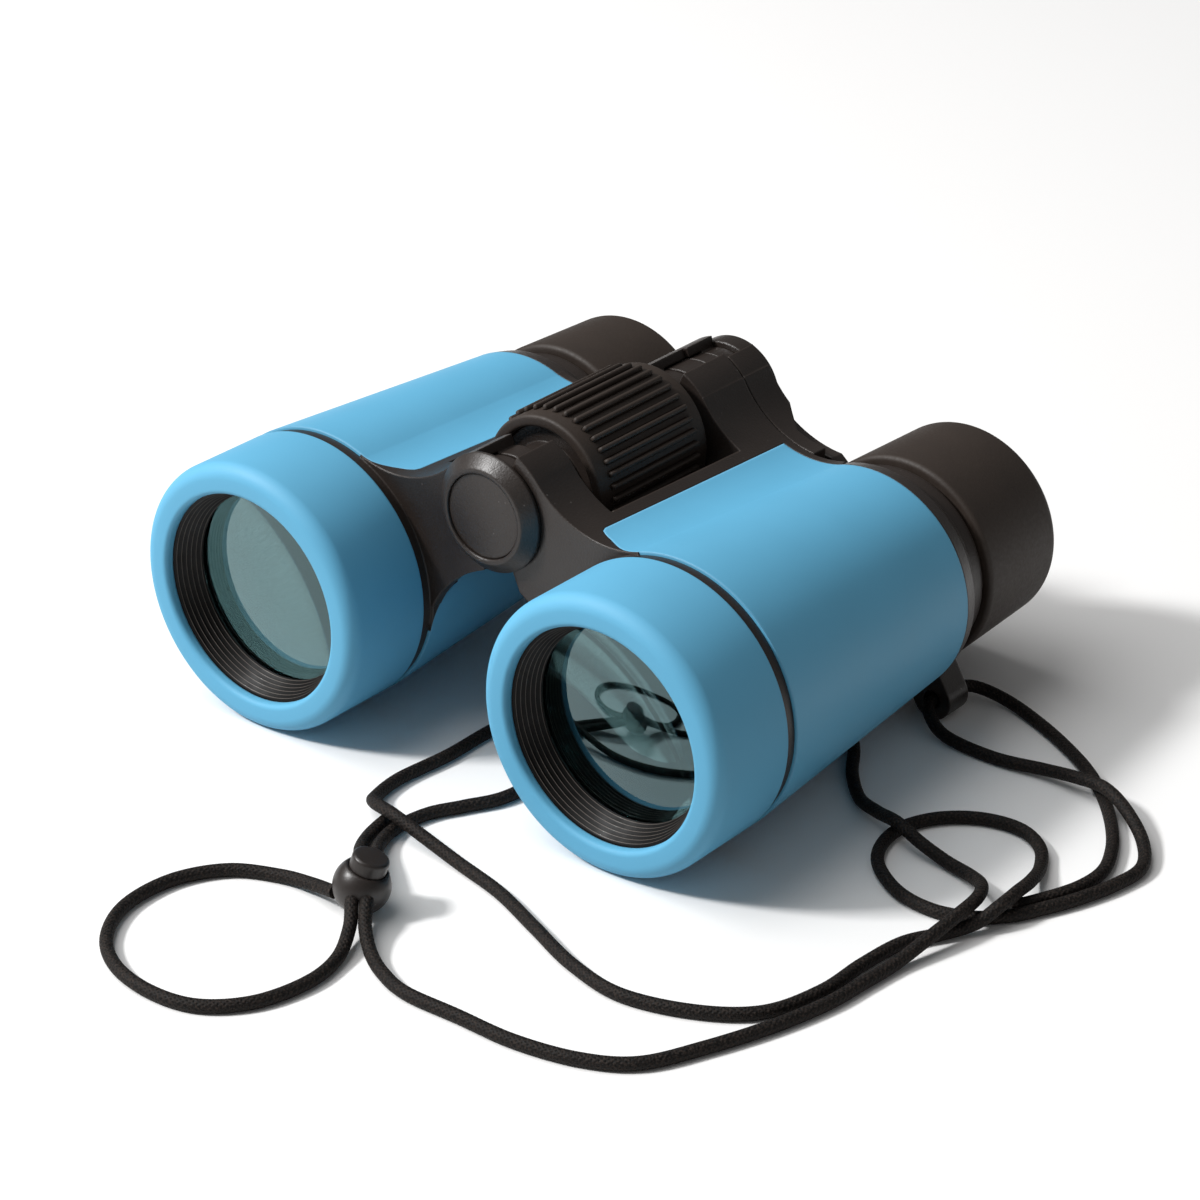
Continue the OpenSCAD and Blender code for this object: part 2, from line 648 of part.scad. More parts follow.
// Eyepiece tube: slides in the barrel and carries the eye lens
module eyepiece_tube() {
    start = collar_end - tube_inside_len;
    end = overall_len - eye_lens_seat;
    bore_r = tube_r - tube_wall;
    lens_front = end - eye_lens_edge;
    on_barrel()
        polygon([[bore_r, start], [tube_r, start], [tube_r, end], [eye_lens_r + seat_gap, end],
            [eye_lens_r + seat_gap, lens_front], [eye_lens_r - tube_wall, lens_front],
            [eye_lens_r - tube_wall, lens_front - tube_wall], [bore_r, lens_front - 2 * tube_wall]]);
}
module right_eyepiece_tube() color("#211d1b") eyepiece_tube();
module left_eyepiece_tube() color("#211d1b") to_left() eyepiece_tube();

// Eyecup: a rubber cup glued over the tube, with a rounded rim and a flared mouth
module eyecup() {
    inner_r = tube_r + seat_gap;
    floor_y = overall_len - eye_lens_seat + seat_gap;
    on_barrel()
        polygon(concat([[inner_r, eyecup_start]],
            corner(eyecup_front_r - edge_round, eyecup_start + edge_round, edge_round, -90, 0),
            corner(eyecup_rear_r - eyecup_round, overall_len - eyecup_round, eyecup_round, 0, 90),
            corner(eyecup_mouth_r + eyecup_round, overall_len - eyecup_round / 2, eyecup_round / 2, 90, 180),
            [[eye_lens_r - edge_round, floor_y + edge_round], [eye_lens_r - edge_round, floor_y],
                [inner_r, floor_y]]));
}
module right_eyecup() color("#241f1c") eyecup();
module left_eyecup() color("#241f1c") to_left() eyecup();

// Eye lens: a double-concave disc
module eye_lens() {
    back = overall_len - eye_lens_seat;
    front = back - eye_lens_edge + seat_gap;
    clear_r = eye_lens_r - edge_round;
    ball_r = (clear_r * clear_r + eye_lens_hollow * eye_lens_hollow) / (2 * eye_lens_hollow);
    turn = asin(clear_r / ball_r);
    on_barrel()
        polygon(concat(corner(0, front + eye_lens_hollow - ball_r, ball_r, 90, 90 - turn),
            [[eye_lens_r, front], [eye_lens_r, back]],
            corner(0, back - eye_lens_hollow + ball_r, ball_r, -90 + turn, -90)));
}
module right_eye_lens() color("#b9cfd2") eye_lens();
module left_eye_lens() color("#b9cfd2") to_left() eye_lens();

// Focus arm: a ring on the focus screw, an arm down the saddle and a ring round the eyepiece tube
module focus_arm(top, ring_y, hump) {
    neck_y = collar_end + neck_ring_gap;
    half_len = focus_arm_len / 2 - run_gap;
    web_len = norm([bx, hinge_rise]) - knuckle_r - grip_wall;
    tip_y = arm_start + arm_tip_len;
    neck_x = grip_edge_x - over - arm_neck_w;
    difference() {
        union() {
            difference() {
                between(arm_start, arm_end)
                    intersection() {
                        bridge_outline(top, arm_bottom, grip_rear_r, hump, 0);
                        translate([0, bz]) square([arm_tip_x, 2 * hz]);
                    }
                saddle_cutter(saddle_r, hump);
                hinge_rod(knuckle_r + free_gap, arm_start - over, arm_end + over);
                translate([0, front_y, 0])
                    linear_extrude(2 * hz)
                        polygon([[neck_x, arm_end], [grip_edge_x - over, tip_y], [bx, tip_y],
                            [bx, arm_end + over], [neck_x, arm_end + over]]);
                on_barrel() translate([0, arm_start - over])
                    square([grip_r(parting) + arm_tip_gap, arm_end - arm_start + 2 * over]);
            }
            difference() {
                between(ring_y, ring_y + half_len)
                    intersection() {
                        bridge_outline(top, arm_bottom, grip_rear_r, hump, 0);
                        translate([0, bz]) square([neck_x, 2 * hz]);
                    }
                saddle_cutter(saddle_r, hump);
            }
            hinge_rod(knuckle_r, ring_y, ring_y + half_len);
            on_barrel() translate([0, neck_y]) square([neck_ring_r, neck_ring_len]);
            intersection() {
                between(neck_y, arm_end)
                    translate([bx, bz]) rotate(90 + web_turn) translate([0, -web_w / 2])
                        square([web_len, web_w]);
                difference() {
                    between(neck_y, arm_end) bridge_outline(top, right_bottom, grip_rear_r, hump, 0);
                    saddle_cutter(saddle_r + web_sink, hump);
                    hinge_rod(knuckle_r + free_gap, arm_start - over, arm_end + over);
                }
            }
        }
        hinge_rod(screw_r + run_gap, arm_start - over, arm_end + over);
        on_barrel() translate([0, arm_start - over]) square([tube_r + seat_gap, 2 * focus_arm_len]);
    }
}
module right_focus_arm() color("#2e2724") focus_arm(right_arm_top, arm_start, hump_r);
module left_focus_arm() color("#2e2724") to_left() focus_arm(left_arm_top, arm_split, left_hump_r);

// Hinge axle, from the front cap to the rear cap
module hinge_axle() color("#9a9a98")
    hinge_rod(axle_r, cap_y + cap_len - cap_socket, axle_end);

// Friction washers between the knuckles
module hinge_washers() color("#c8c4bc") {
    hinge_tube(axle_r + run_gap, washer_r, front_split + seat_gap, front_split + washer_len - seat_gap);
    hinge_tube(screw_r + run_gap, washer_r, rear_split + seat_gap, rear_split + washer_len - seat_gap);
}

// Front cap: a chamfered button with a shallow recess for a plain disc
module front_cap() color("#2e2724")
    difference() {
        on_hinge()
            polygon([[0, cap_y], [cap_face_r, cap_y], [cap_r, cap_y + cap_chamfer_len],
                [cap_r, cap_y + cap_len], [0, cap_y + cap_len]]);
        hinge_rod(disc_r + seat_gap, cap_y - over, cap_y + disc_depth + disc_len);
        hinge_rod(axle_r + seat_gap / 2, cap_y + cap_len - cap_socket - seat_gap, cap_y + cap_len + over);
    }
module front_cap_disc() color("#4a423d")
    hinge_rod(disc_r, cap_y + disc_depth, cap_y + disc_depth + disc_len - seat_gap);

// Focus wheel: a hub that turns on the screw, and a ribbed rubber tyre
module focus_wheel_core() color("#211d1b")
    on_hinge()
        polygon([[screw_r + run_gap, window_start + free_gap], [hub_r, window_start + free_gap],
            [hub_r, wheel_y + wheel_recess], [wheel_core_r, wheel_y + wheel_recess],
            [wheel_core_r, wheel_y + wheel_len - wheel_recess], [hub_r, wheel_y + wheel_len - wheel_recess],
            [hub_r, window_end - free_gap], [screw_r + run_gap, window_end - free_gap]]);

module focus_wheel_tyre() color("#211d1b") {
    base_r = wheel_r - rib_height;
    on_hinge()
        polygon(concat([[wheel_core_r + seat_gap, wheel_y]],
            corner(base_r - edge_round / 2, wheel_y + edge_round / 2, edge_round / 2, -90, 0),
            corner(base_r - edge_round / 2, wheel_y + wheel_len - edge_round / 2, edge_round / 2, 0, 90),
            [[wheel_core_r + seat_gap, wheel_y + wheel_len]]));
    translate([0, front_y + wheel_y + rim_len, hz])
        for (i = [0:rib_count - 1])
            rotate([0, 360 * i / rib_count, 0])
                translate([base_r - rib_height, 0, -rib_w / 2])
                    cube([2 * rib_height, wheel_len - 2 * rim_len, rib_w]);
}

// Focus screw: a tube on the axle that the wheel drives in and out
module focus_screw() color("#8f8d88")
    hinge_tube(axle_r + run_gap, screw_r, screw_start, rear_cap_y + rear_cap_len / 2);

// Rear cap: closes the end of the focus screw
module rear_cap() color("#2e2724")
    difference() {
        on_hinge()
            polygon([[0, rear_cap_y], [rear_cap_r, rear_cap_y],
                [rear_cap_r, rear_cap_y + rear_cap_len - rear_cap_chamfer],
                [rear_cap_r - rear_cap_chamfer, rear_cap_y + rear_cap_len], [0, rear_cap_y + rear_cap_len]]);
        hinge_rod(screw_r + seat_gap / 2, rear_cap_y - over, rear_cap_y + rear_cap_len / 2 + seat_gap);
        hinge_rod(rear_recess_r, rear_cap_y + rear_cap_len - rear_recess_depth,
            rear_cap_y + rear_cap_len + over);
    }

// Cord lock frame: turned to face along the cord, and leaned with its button
module on_lock() translate(lock_pos) rotate([0, 0, lock_turn]) children();
module on_button() on_lock() rotate([0, button_tilt, 0]) children();

// Sockets where the strands of cord enter the ball
module strand_socket(side, dir)
    translate([side * strand_side, dir * cord_grip, -strand_drop])
        rotate([-90 * dir, 0, 0]) cylinder(r = socket_r, h = lock_r);

module cord_lock_ball() color("#2a2421")
    difference() {
        translate(lock_pos) sphere(lock_r);
        on_button() translate([0, 0, lock_flat]) cylinder(r = lock_r, h = lock_r);
        on_button() translate([0, 0, button_foot - button_travel - button_gap])
            cylinder(r = button_r + button_gap, h = lock_r);
        on_button() translate([0, 0, spring_foot]) cylinder(r = spring_pocket_r, h = lock_r);
        on_lock() {
            strand_socket(1, 1);
            strand_socket(-1, 1);
            strand_socket(1, -1);
            strand_socket(-1, -1);
        }
        hull() {
            translate(loop_route[len(loop_route) - 1]) sphere(r = socket_r, $fn = 24);
            translate(loop_route[len(loop_route) - 2]) sphere(r = socket_r, $fn = 24);
        }
    }

module cord_lock_button() color("#2a2421")
    on_button() rotate_extrude()
        polygon(concat([[0, button_foot], [button_r, button_foot]],
            corner(button_r - button_round, button_top - button_round, button_round, 0, 90),
            [[0, button_top]]));

module cord_lock_spring() color("#b8b8b6") {
    coil_len = button_foot - spring_foot - spring_wire - 2 * seat_gap;
    count = spring_turns * spring_steps;
    turn = 360 / spring_steps;
    route = [for (i = [0:count]) [spring_r * cos(turn * i), spring_r * sin(turn * i),
        spring_foot + seat_gap + spring_wire / 2 + coil_len * i / count]];
    on_button() tube_along(route, spring_wire / 2, spring_sides);
}

// Neck cord: the strand from the right lug, the strand to the lock, the strand from the left
// lug, the loop below the lock and the free tail above it
module neck_cord_right() color("#1d1816") tube_along(right_route, cord_r, cord_sides);
module neck_cord_front() color("#1d1816") tube_along(front_route, cord_r, cord_sides);
module neck_cord_left() color("#1d1816") tube_along(left_route, cord_r, cord_sides);
module neck_cord_loop() color("#1d1816") tube_along(loop_route, cord_r, cord_sides);
module neck_cord_tail() color("#1d1816") tube_along(tail_route, cord_r, cord_sides);

right_body();
left_body();
right_grip();
left_grip();
right_front_ring();
left_front_ring();
right_lens_cell();
left_lens_cell();
right_objective_lens();
left_objective_lens();
right_lens_retainer();
left_lens_retainer();
right_eyepiece_tube();
left_eyepiece_tube();
right_eyecup();
left_eyecup();
right_eye_lens();
left_eye_lens();
right_focus_arm();
left_focus_arm();
hinge_axle();
hinge_washers();
front_cap();
front_cap_disc();
focus_wheel_core();
focus_wheel_tyre();
focus_screw();
rear_cap();
cord_lock_ball();
cord_lock_button();
cord_lock_spring();
neck_cord_right();
neck_cord_front();
neck_cord_left();
neck_cord_loop();
neck_cord_tail();
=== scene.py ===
"""Toy binoculars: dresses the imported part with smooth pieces, materials, a neck cord and a studio."""

import json
import math

import bmesh
import bpy
from bpy.props import FloatProperty, FloatVectorProperty, IntProperty, PointerProperty
from mathutils import Matrix, Vector


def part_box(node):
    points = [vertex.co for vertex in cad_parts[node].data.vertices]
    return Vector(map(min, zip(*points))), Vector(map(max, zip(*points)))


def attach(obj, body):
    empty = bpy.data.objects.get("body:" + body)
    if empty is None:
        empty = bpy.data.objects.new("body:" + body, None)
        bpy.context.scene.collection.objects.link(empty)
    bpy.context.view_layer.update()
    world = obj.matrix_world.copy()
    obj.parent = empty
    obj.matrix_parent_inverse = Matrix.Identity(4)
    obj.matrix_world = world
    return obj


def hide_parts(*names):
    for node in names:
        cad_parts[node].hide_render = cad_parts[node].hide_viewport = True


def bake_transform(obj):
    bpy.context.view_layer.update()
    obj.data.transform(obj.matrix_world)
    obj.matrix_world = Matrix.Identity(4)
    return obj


bl_info = {
    "name": "Toy binoculars",
    "version": (1, 0, 0),
    "blender": (4, 5, 0),
    "location": "3D View > Sidebar > Binoculars",
    "description": "Builds the looks of toy binoculars with a neck cord around a packed part",
    "category": "Object",
}

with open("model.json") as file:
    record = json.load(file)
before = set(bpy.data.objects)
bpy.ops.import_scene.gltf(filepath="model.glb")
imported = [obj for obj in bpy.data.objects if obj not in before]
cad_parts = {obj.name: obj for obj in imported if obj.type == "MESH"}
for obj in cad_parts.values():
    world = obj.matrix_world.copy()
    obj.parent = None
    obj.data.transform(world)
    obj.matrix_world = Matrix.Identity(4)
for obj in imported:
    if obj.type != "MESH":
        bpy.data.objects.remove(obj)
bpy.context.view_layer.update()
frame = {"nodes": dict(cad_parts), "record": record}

MM = 0.001
SIDES = {"right": 1, "left": -1}
RING_LOW, RING_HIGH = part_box("right_front_ring")
CUP_LOW, CUP_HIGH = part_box("right_eyecup")
TYRE_LOW, TYRE_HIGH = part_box("focus_wheel_tyre")
CAP_LOW, CAP_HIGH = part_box("front_cap")
REAR_CAP_LOW, REAR_CAP_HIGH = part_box("rear_cap")
CORE_LOW, CORE_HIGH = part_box("focus_wheel_core")
BALL_LOW, BALL_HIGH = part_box("cord_lock_ball")

# Places in the frame that every piece is built on
FRONT = RING_LOW.y
REAR = CUP_HIGH.y
BARREL_X = (RING_LOW.x + RING_HIGH.x) / 2
BARREL_Z = (RING_LOW.z + RING_HIGH.z) / 2
RING_R = (RING_HIGH.x - RING_LOW.x) / 2
RING_LEN = RING_HIGH.y - RING_LOW.y
HINGE_Z = (TYRE_LOW.z + TYRE_HIGH.z) / 2
BALL_R = (BALL_HIGH.x - BALL_LOW.x) / 2
LOCK = Vector(((BALL_LOW.x + BALL_HIGH.x) / 2, (BALL_LOW.y + BALL_HIGH.y) / 2, BALL_LOW.z + BALL_R))
CELL_START = FRONT + 1.65 * MM
CELL_LEN = 4.61 * MM
CELL_RIDGES = 6
CELL_PITCH = CELL_LEN / CELL_RIDGES
LOCK_TURN = math.radians(36.9)
BUTTON_TILT = math.radians(18)

# Braid of the cord, in strands round it and crossings for each diameter along it
BRAID_CARRIERS = 8
BRAID_LAY = 2.2

# Stage: a lamp has its turn and rise in degrees, its distance and size in metres and its power in watts
CAMERA_EYE = Vector((323.8, -401.6, 278.2)) * MM
CAMERA_TARGET = Vector((-5.61, 2.7, 11.76)) * MM
FLOOR_HALF = 4.0
FLOOR_BOUNCE = 0.65
WORLD_FILL = 0.16
LAMPS = {
    "key": (-133.0, 42.0, 1.6, 0.22, 22.0),
    "sky": (-150.0, 62.0, 1.6, 1.4, 15.0),
}

# Routes of the cord, repeated from the part's source in millimetres
RIGHT_ROUTE = [
    (45.5, 27, 3.3), (45.5, 21.5, 3.3), (47.3, 18.6, 2.4), (52, 16.5, 1.2), (61, 16, 1),
    (69.5, 16.9, 1.6), (76, 16.3, 2.7), (81.3, 15.1, 3.4), (86.5, 12.7, 2.6), (92.1, 8.3, 1.4),
    (95.5, 2.5, 1), (95, -4, 1), (93, -10.5, 1), (90.5, -16, 1), (88, -20.5, 1),
    (84, -24.2, 1), (78.5, -26.1, 1), (72, -25.1, 1), (65.5, -20.8, 1), (62.5, -15.5, 1),
    (62.2, -9.5, 1), (65, -4, 1), (70, -0.3, 1), (76, 0.6, 1), (81, -2, 1), (84.3, -7, 1.2),
    (86.3, -12.5, 2.4), (87.3, -17.5, 3.4), (87.4, -22, 3.3), (86, -26, 1.7), (83.3, -30.3, 1),
    (80.3, -36, 1), (79.2, -44, 1), (78.8, -53, 1), (75.8, -62, 1), (68.5, -67.8, 1), (58, -71, 1),
    (48, -69.3, 1), (38, -65.3, 1), (28, -61.3, 1), (18, -59, 1.2), (10, -58, 2.4),
    (4, -57.4, 3.4), (-0.8, -56, 2.9), (-3.8, -52.5, 1.3), (-5, -46, 1), (-4, -36, 1),
    (-4, -26, 1), (-3, -14, 1), (2, -2, 1), (11, 7.5, 1), (20.5, 11.5, 1), (22, 11.8, 1),
]
RIGHT_END_ROUTE = [
    (45.5, 27, 3.3), (47.5, 31, 2.4), (53.5, 31.8, 1.3), (62.5, 28.5, 1), (71, 23.8, 1),
    (76.5, 19.8, 1), (81.5, 15, 1), (86, 9.6, 1), (89.5, 4, 1), (91.7, -2, 1), (91.3, -8, 1),
    (89, -14, 1), (86.6, -18.6, 1),
]
FRONT_ROUTE = [
    (22, 11.8, 1), (23.5, 12.1, 1), (32, 11.5, 1), (39, 8.5, 1), (43, 4.5, 1), (47, -1.5, 1),
    (52.3, -7, 1.1), (58, -10.5, 2.4), (63, -12.6, 3.4), (68, -13.8, 2.4), (73, -14.3, 1.3), (78, -15.6, 1.5),
    (81.7, -18.4, 2.6), (84, -23, 3.6), (84.4, -28.4, 3.6), (83.8, -34, 2.6), (82.8, -41, 1.2),
    (82, -48, 1), (81.2, -55, 1), (78.8, -64, 1), (74.8, -74, 1), (70.3, -82.3, 1),
    (63.5, -86.6, 1), (54, -88.8, 1), (44, -89, 1), (35, -89.2, 1), (29.5, -87.6, 1),
    (25, -85.2, 1.3), (21.1, -82.1, 2.6), (18.59, -78.99, 3.9), (17.48, -77.52, 3.9),
]
LEFT_ROUTE = [
    (-45.5, 21.5, 3.3), (-45.5, 27, 3.3), (-43.8, 32, 2.4), (-37, 36, 1.1), (-27, 35.5, 1),
    (-16, 31, 1), (-6, 23, 1), (0.5, 12.5, 1.6), (5.6, 2, 3.4), (9.2, -8, 1.8), (11.2, -19, 1),
    (11.8, -30, 1), (11, -40, 1), (8, -46, 1), (5.3, -51, 1), (4.4, -57, 1), (6.3, -62.8, 1.6),
    (10.6, -68.4, 3), (13.13, -71.72, 3.9), (14.24, -73.19, 3.9),
]
LOOP_ROUTE = [
    (15.76, -78.81, 3.9), (16.87, -80.28, 3.9), (19.3, -83.4, 2.3), (22, -89, 1.1), (22.8, -96, 1),
    (20.5, -104, 1), (15, -109.5, 1), (7.5, -111, 1), (-0.5, -109.5, 1), (-7, -105, 1), (-11, -97.5, 1),
    (-10.8, -88.5, 1), (-6.5, -81.3, 1), (0.5, -77.8, 1.1), (6.5, -77.4, 1.8), (11.9, -78.4, 3),
]
TAIL_ROUTE = [
    (12.52, -74.49, 3.9), (11.41, -73.01, 3.9), (8.9, -69.7, 3), (5, -65.5, 1.6), (2.8, -61.5, 1),
    (1.9, -57.8, 1), (1.5, -54.6, 1),
]


class Value:
    """A shader socket that takes part in Python maths."""

    def __init__(self, graph, socket):
        self.graph = graph
        self.socket = socket

    def _math(self, operation, *terms):
        node = self.graph.node("ShaderNodeMath", {"operation": operation}, dict(enumerate(terms)))
        return Value(self.graph, node.outputs[0])

    def __add__(self, other):
        return self._math("ADD", self, other)

    __radd__ = __add__

    def __sub__(self, other):
        return self._math("SUBTRACT", self, other)

    def __rsub__(self, other):
        return self._math("SUBTRACT", other, self)

    def __mul__(self, other):
        return self._math("MULTIPLY", self, other)

    __rmul__ = __mul__

    def __truediv__(self, other):
        return self._math("DIVIDE", self, other)

    def sine(self):
        return self._math("SINE", self)

    def size(self):
        return self._math("ABSOLUTE", self)

    def largest(self, other):
        return self._math("MAXIMUM", self, other)

    def fraction(self):
        return self._math("FRACT", self)

    def power(self, other):
        return self._math("POWER", self, other)

    def clamped(self):
        return self._math("MINIMUM", self._math("MAXIMUM", self, 0.0), 1.0)


class Graph:
    """The node tree of one material, with its Principled shader."""

    def __init__(self, name):
        self.material = bpy.data.materials.new(name)
        self.material.use_nodes = True
        self.tree = self.material.node_tree
        self.tree.nodes.clear()
        self.shader = self.tree.nodes.new("ShaderNodeBsdfPrincipled")
        output = self.tree.nodes.new("ShaderNodeOutputMaterial")
        self.tree.links.new(self.shader.outputs[0], output.inputs["Surface"])

    def node(self, kind, settings=None, inputs=None):
        made = self.tree.nodes.new(kind)
        for key, value in (settings or {}).items():
            setattr(made, key, value)
        for key, value in (inputs or {}).items():
            self.put(made.inputs[key], value)
        return made

    def put(self, socket, value):
        if isinstance(value, Value):
            self.tree.links.new(value.socket, socket)
        elif isinstance(value, bpy.types.NodeSocket):
            self.tree.links.new(value, socket)
        else:
            socket.default_value = value

    def value(self, kind, settings=None, inputs=None, output=0):
        return Value(self, self.node(kind, settings, inputs).outputs[output])

    def set(self, **sockets):
        for name, value in sockets.items():
            self.put(self.shader.inputs[name.replace("_", " ").title()], value)

    def place(self, which="Object"):
        return self.node("ShaderNodeTexCoord").outputs[which]

    def noise(self, vector, scale, detail=4.0, roughness=0.55):
        return self.value("ShaderNodeTexNoise", {}, {
            "Vector": vector, "Scale": scale, "Detail": detail, "Roughness": roughness})

    def range(self, value, low, high, to_low, to_high):
        return self.value("ShaderNodeMapRange", {}, {
            "Value": value, "From Min": low, "From Max": high, "To Min": to_low, "To Max": to_high})

    def mixed(self, factor, first, second):
        node = self.node("ShaderNodeMix", {"data_type": "RGBA"}, {0: factor, 6: first, 7: second})
        return node.outputs[2]

    def bump(self, height, strength, distance, normal=None):
        inputs = {"Height": height, "Strength": strength, "Distance": distance}
        if normal is not None:
            inputs["Normal"] = normal
        return self.node("ShaderNodeBump", {}, inputs).outputs[0]

    def soft_edge(self, radius):
        """The rounded normal of a moulded edge, and a mask that is 1 on the edge itself."""
        rounded = self.node("ShaderNodeBevel", {"samples": 6}, {"Radius": radius}).outputs[0]
        flat = self.node("ShaderNodeNewGeometry").outputs["Normal"]
        facing = self.value("ShaderNodeVectorMath", {"operation": "DOT_PRODUCT"}, {0: rounded, 1: flat}, 1)
        return rounded, self.range(1 - facing, 0.02, 0.2, 0.0, 1.0)


def rgba(colour, lift=1.0):
    return (colour[0] * lift, colour[1] * lift, colour[2] * lift, 1.0)


def moulded_black(name, colour, roughness, grain, speck):
    """Black plastic from a spark-eroded mould: fine grain, dusty specks and paler edges, partly wear and
    partly a painted highlight.
    """
    g = Graph(name)
    place = g.place()
    cloud = g.noise(place, 90.0, 3.0)
    fine = g.noise(place, 2600.0, 2.0)
    rounded, edge = g.soft_edge(0.00045)
    dust = g.value("ShaderNodeTexVoronoi", {"feature": "F1"}, {"Vector": place, "Scale": 620.0})
    dots = g.range(dust, 0.05, 0.12, speck, 0.0) * g.range(g.noise(place, 260.0, 2.0), 0.55, 0.7, 0.0, 1.0)
    body = g.mixed(cloud, rgba(colour, 0.82), rgba(colour, 1.25))
    # Paler edges: partly wear, partly a painted highlight where the rounded edges catch the light.
    worn_and_highlit_edges = g.mixed(edge * 0.55, body, rgba(colour, 2.6))
    g.set(base_color=g.mixed(dots, worn_and_highlit_edges, rgba((0.30, 0.27, 0.25))))
    g.set(roughness=g.range(cloud, 0.3, 0.7, roughness - 0.06, roughness + 0.08))
    g.set(normal=g.bump(fine, grain, 0.00006, rounded))
    return g.material


def blue_skin(name, colour, roughness, grain, painted_edge_highlight):
    """Blue rubber or plastic: a soft sheen, a trace of mottling and a painted highlight along the edges."""
    g = Graph(name)
    place = g.place()
    cloud = g.noise(place, 55.0, 3.0)
    fine = g.noise(place, 2200.0, 3.0)
    rounded, edge = g.soft_edge(0.0005)
    body = g.mixed(cloud, rgba(colour, 0.95), rgba(colour, 1.05))
    # Painted highlight: the edges are lightened towards pale blue.
    g.set(base_color=g.mixed(edge * painted_edge_highlight, body, rgba((0.32, 0.62, 0.86))))
    g.set(roughness=g.range(cloud, 0.3, 0.7, roughness - 0.04, roughness + 0.05))
    g.set(normal=g.bump(fine, grain, 0.00004, rounded))
    return g.material


def matt_rubber(name, colour, roughness):
    """Black rubber: matt, a little brown, with a fine tooth."""
    g = Graph(name)
    place = g.place()
    cloud = g.noise(place, 120.0, 4.0)
    tooth = g.noise(place, 1800.0, 4.0, 0.65)
    rounded, edge = g.soft_edge(0.0004)
    body = g.mixed(cloud, rgba(colour, 0.8), rgba(colour, 1.3))
    # Painted highlight: the edges are lightened.
    g.set(base_color=g.mixed(edge * 0.5, body, rgba(colour, 2.2)))
    g.set(roughness=g.range(tooth, 0.3, 0.7, roughness - 0.05, roughness + 0.1))
    g.set(normal=g.bump(tooth, 0.35, 0.00008, rounded))
    return g.material


def baffle_black(name, colour, start, pitch):
    """Flat black inside the lens cells, with a painted highlight in brown along the crests of the ridges."""
    g = Graph(name)
    place = g.place()
    cloud = g.noise(place, 400.0, 3.0)
    part = g.node("ShaderNodeSeparateXYZ", {}, {0: place})
    share = ((Value(g, part.outputs[1]) - start) / pitch).fraction()
    crest = g.range((share - 0.45).size(), 0.02, 0.1, 1.0, 0.0)
    black = g.mixed(cloud, rgba(colour, 0.7), rgba(colour, 1.4))
    # Painted highlight: the crests of the ridges are lightened to brown.
    g.set(base_color=g.mixed(crest, black, rgba((0.2, 0.17, 0.15))), coat_weight=crest * 0.7)
    g.set(roughness=g.range(cloud, 0.3, 0.7, 0.4, 0.55))
    g.shader.inputs["Specular IOR Level"].default_value = 0.15
    g.shader.inputs["Coat Roughness"].default_value = 0.25
    return g.material


def coated_glass(name, tint):
    """Lens with a mirror-like teal coating and a few specks of dust."""
    g = Graph(name)
    place = g.place()
    dust = g.value("ShaderNodeTexVoronoi", {"feature": "F1"}, {"Vector": place, "Scale": 420.0})
    specks = g.range(dust, 0.02, 0.05, 1.0, 0.0) * g.range(g.noise(place, 150.0), 0.6, 0.7, 0.0, 1.0)
    g.set(base_color=g.mixed(specks, rgba(tint), rgba(tint, 1.1)))
    g.set(roughness=g.range(specks, 0.0, 1.0, 0.0, 0.3))
    g.shader.inputs["Transmission Weight"].default_value = 1.0
    g.shader.inputs["IOR"].default_value = 2.0
    g.shader.inputs["Specular Tint"].default_value = rgba((0.62, 0.95, 1.0))
    return g.material


def braided_cord(name, colour):
    """Round braid: two crossing sets of strands that follow the cord's own map."""
    g = Graph(name)
    part = g.node("ShaderNodeSeparateXYZ", {}, {0: g.place("UV")})
    around = Value(g, part.outputs[0]) * BRAID_CARRIERS
    along = Value(g, part.outputs[1]) * BRAID_LAY
    one = ((around + along) * math.pi).sine().size()
    two = ((around - along) * math.pi).sine().size()
    strands = one.largest(two).power(0.6)
    fuzz = g.noise(g.place(), 3000.0, 3.0)
    # Painted highlight and shade: the strand crests are lightened and the valleys between them darkened.
    shine = strands * g.range(fuzz, 0.45, 0.7, 0.0, 1.0)
    g.set(base_color=g.mixed(shine, rgba(colour, 0.5), rgba(colour, 7.0)))
    g.set(roughness=g.range(fuzz, 0.3, 0.7, 0.55, 0.8))
    g.set(normal=g.bump(strands + fuzz * 0.3, 0.8, 0.00012))
    g.shader.inputs["Specular IOR Level"].default_value = 0.22
    return g.material


def bright_metal(name, colour, roughness):
    """Turned steel with fine drawn lines along the hinge."""
    g = Graph(name)
    mapping = g.node("ShaderNodeMapping", {}, {"Vector": g.place(), "Scale": (900.0, 30.0, 900.0)})
    lines = g.noise(mapping.outputs[0], 1.0, 2.0)
    g.set(base_color=g.mixed(lines, rgba(colour, 0.8), rgba(colour, 1.1)))
    g.set(roughness=g.range(lines, 0.3, 0.7, roughness - 0.05, roughness + 0.1))
    g.shader.inputs["Metallic"].default_value = 1.0
    return g.material


def plain_plastic(name, colour, roughness):
    """Undyed plastic of the hidden running parts."""
    g = Graph(name)
    cloud = g.noise(g.place(), 200.0, 3.0)
    g.set(base_color=g.mixed(cloud, rgba(colour, 0.9), rgba(colour, 1.05)))
    g.set(roughness=g.range(cloud, 0.3, 0.7, roughness - 0.05, roughness + 0.05))
    return g.material


FINISHES = {}


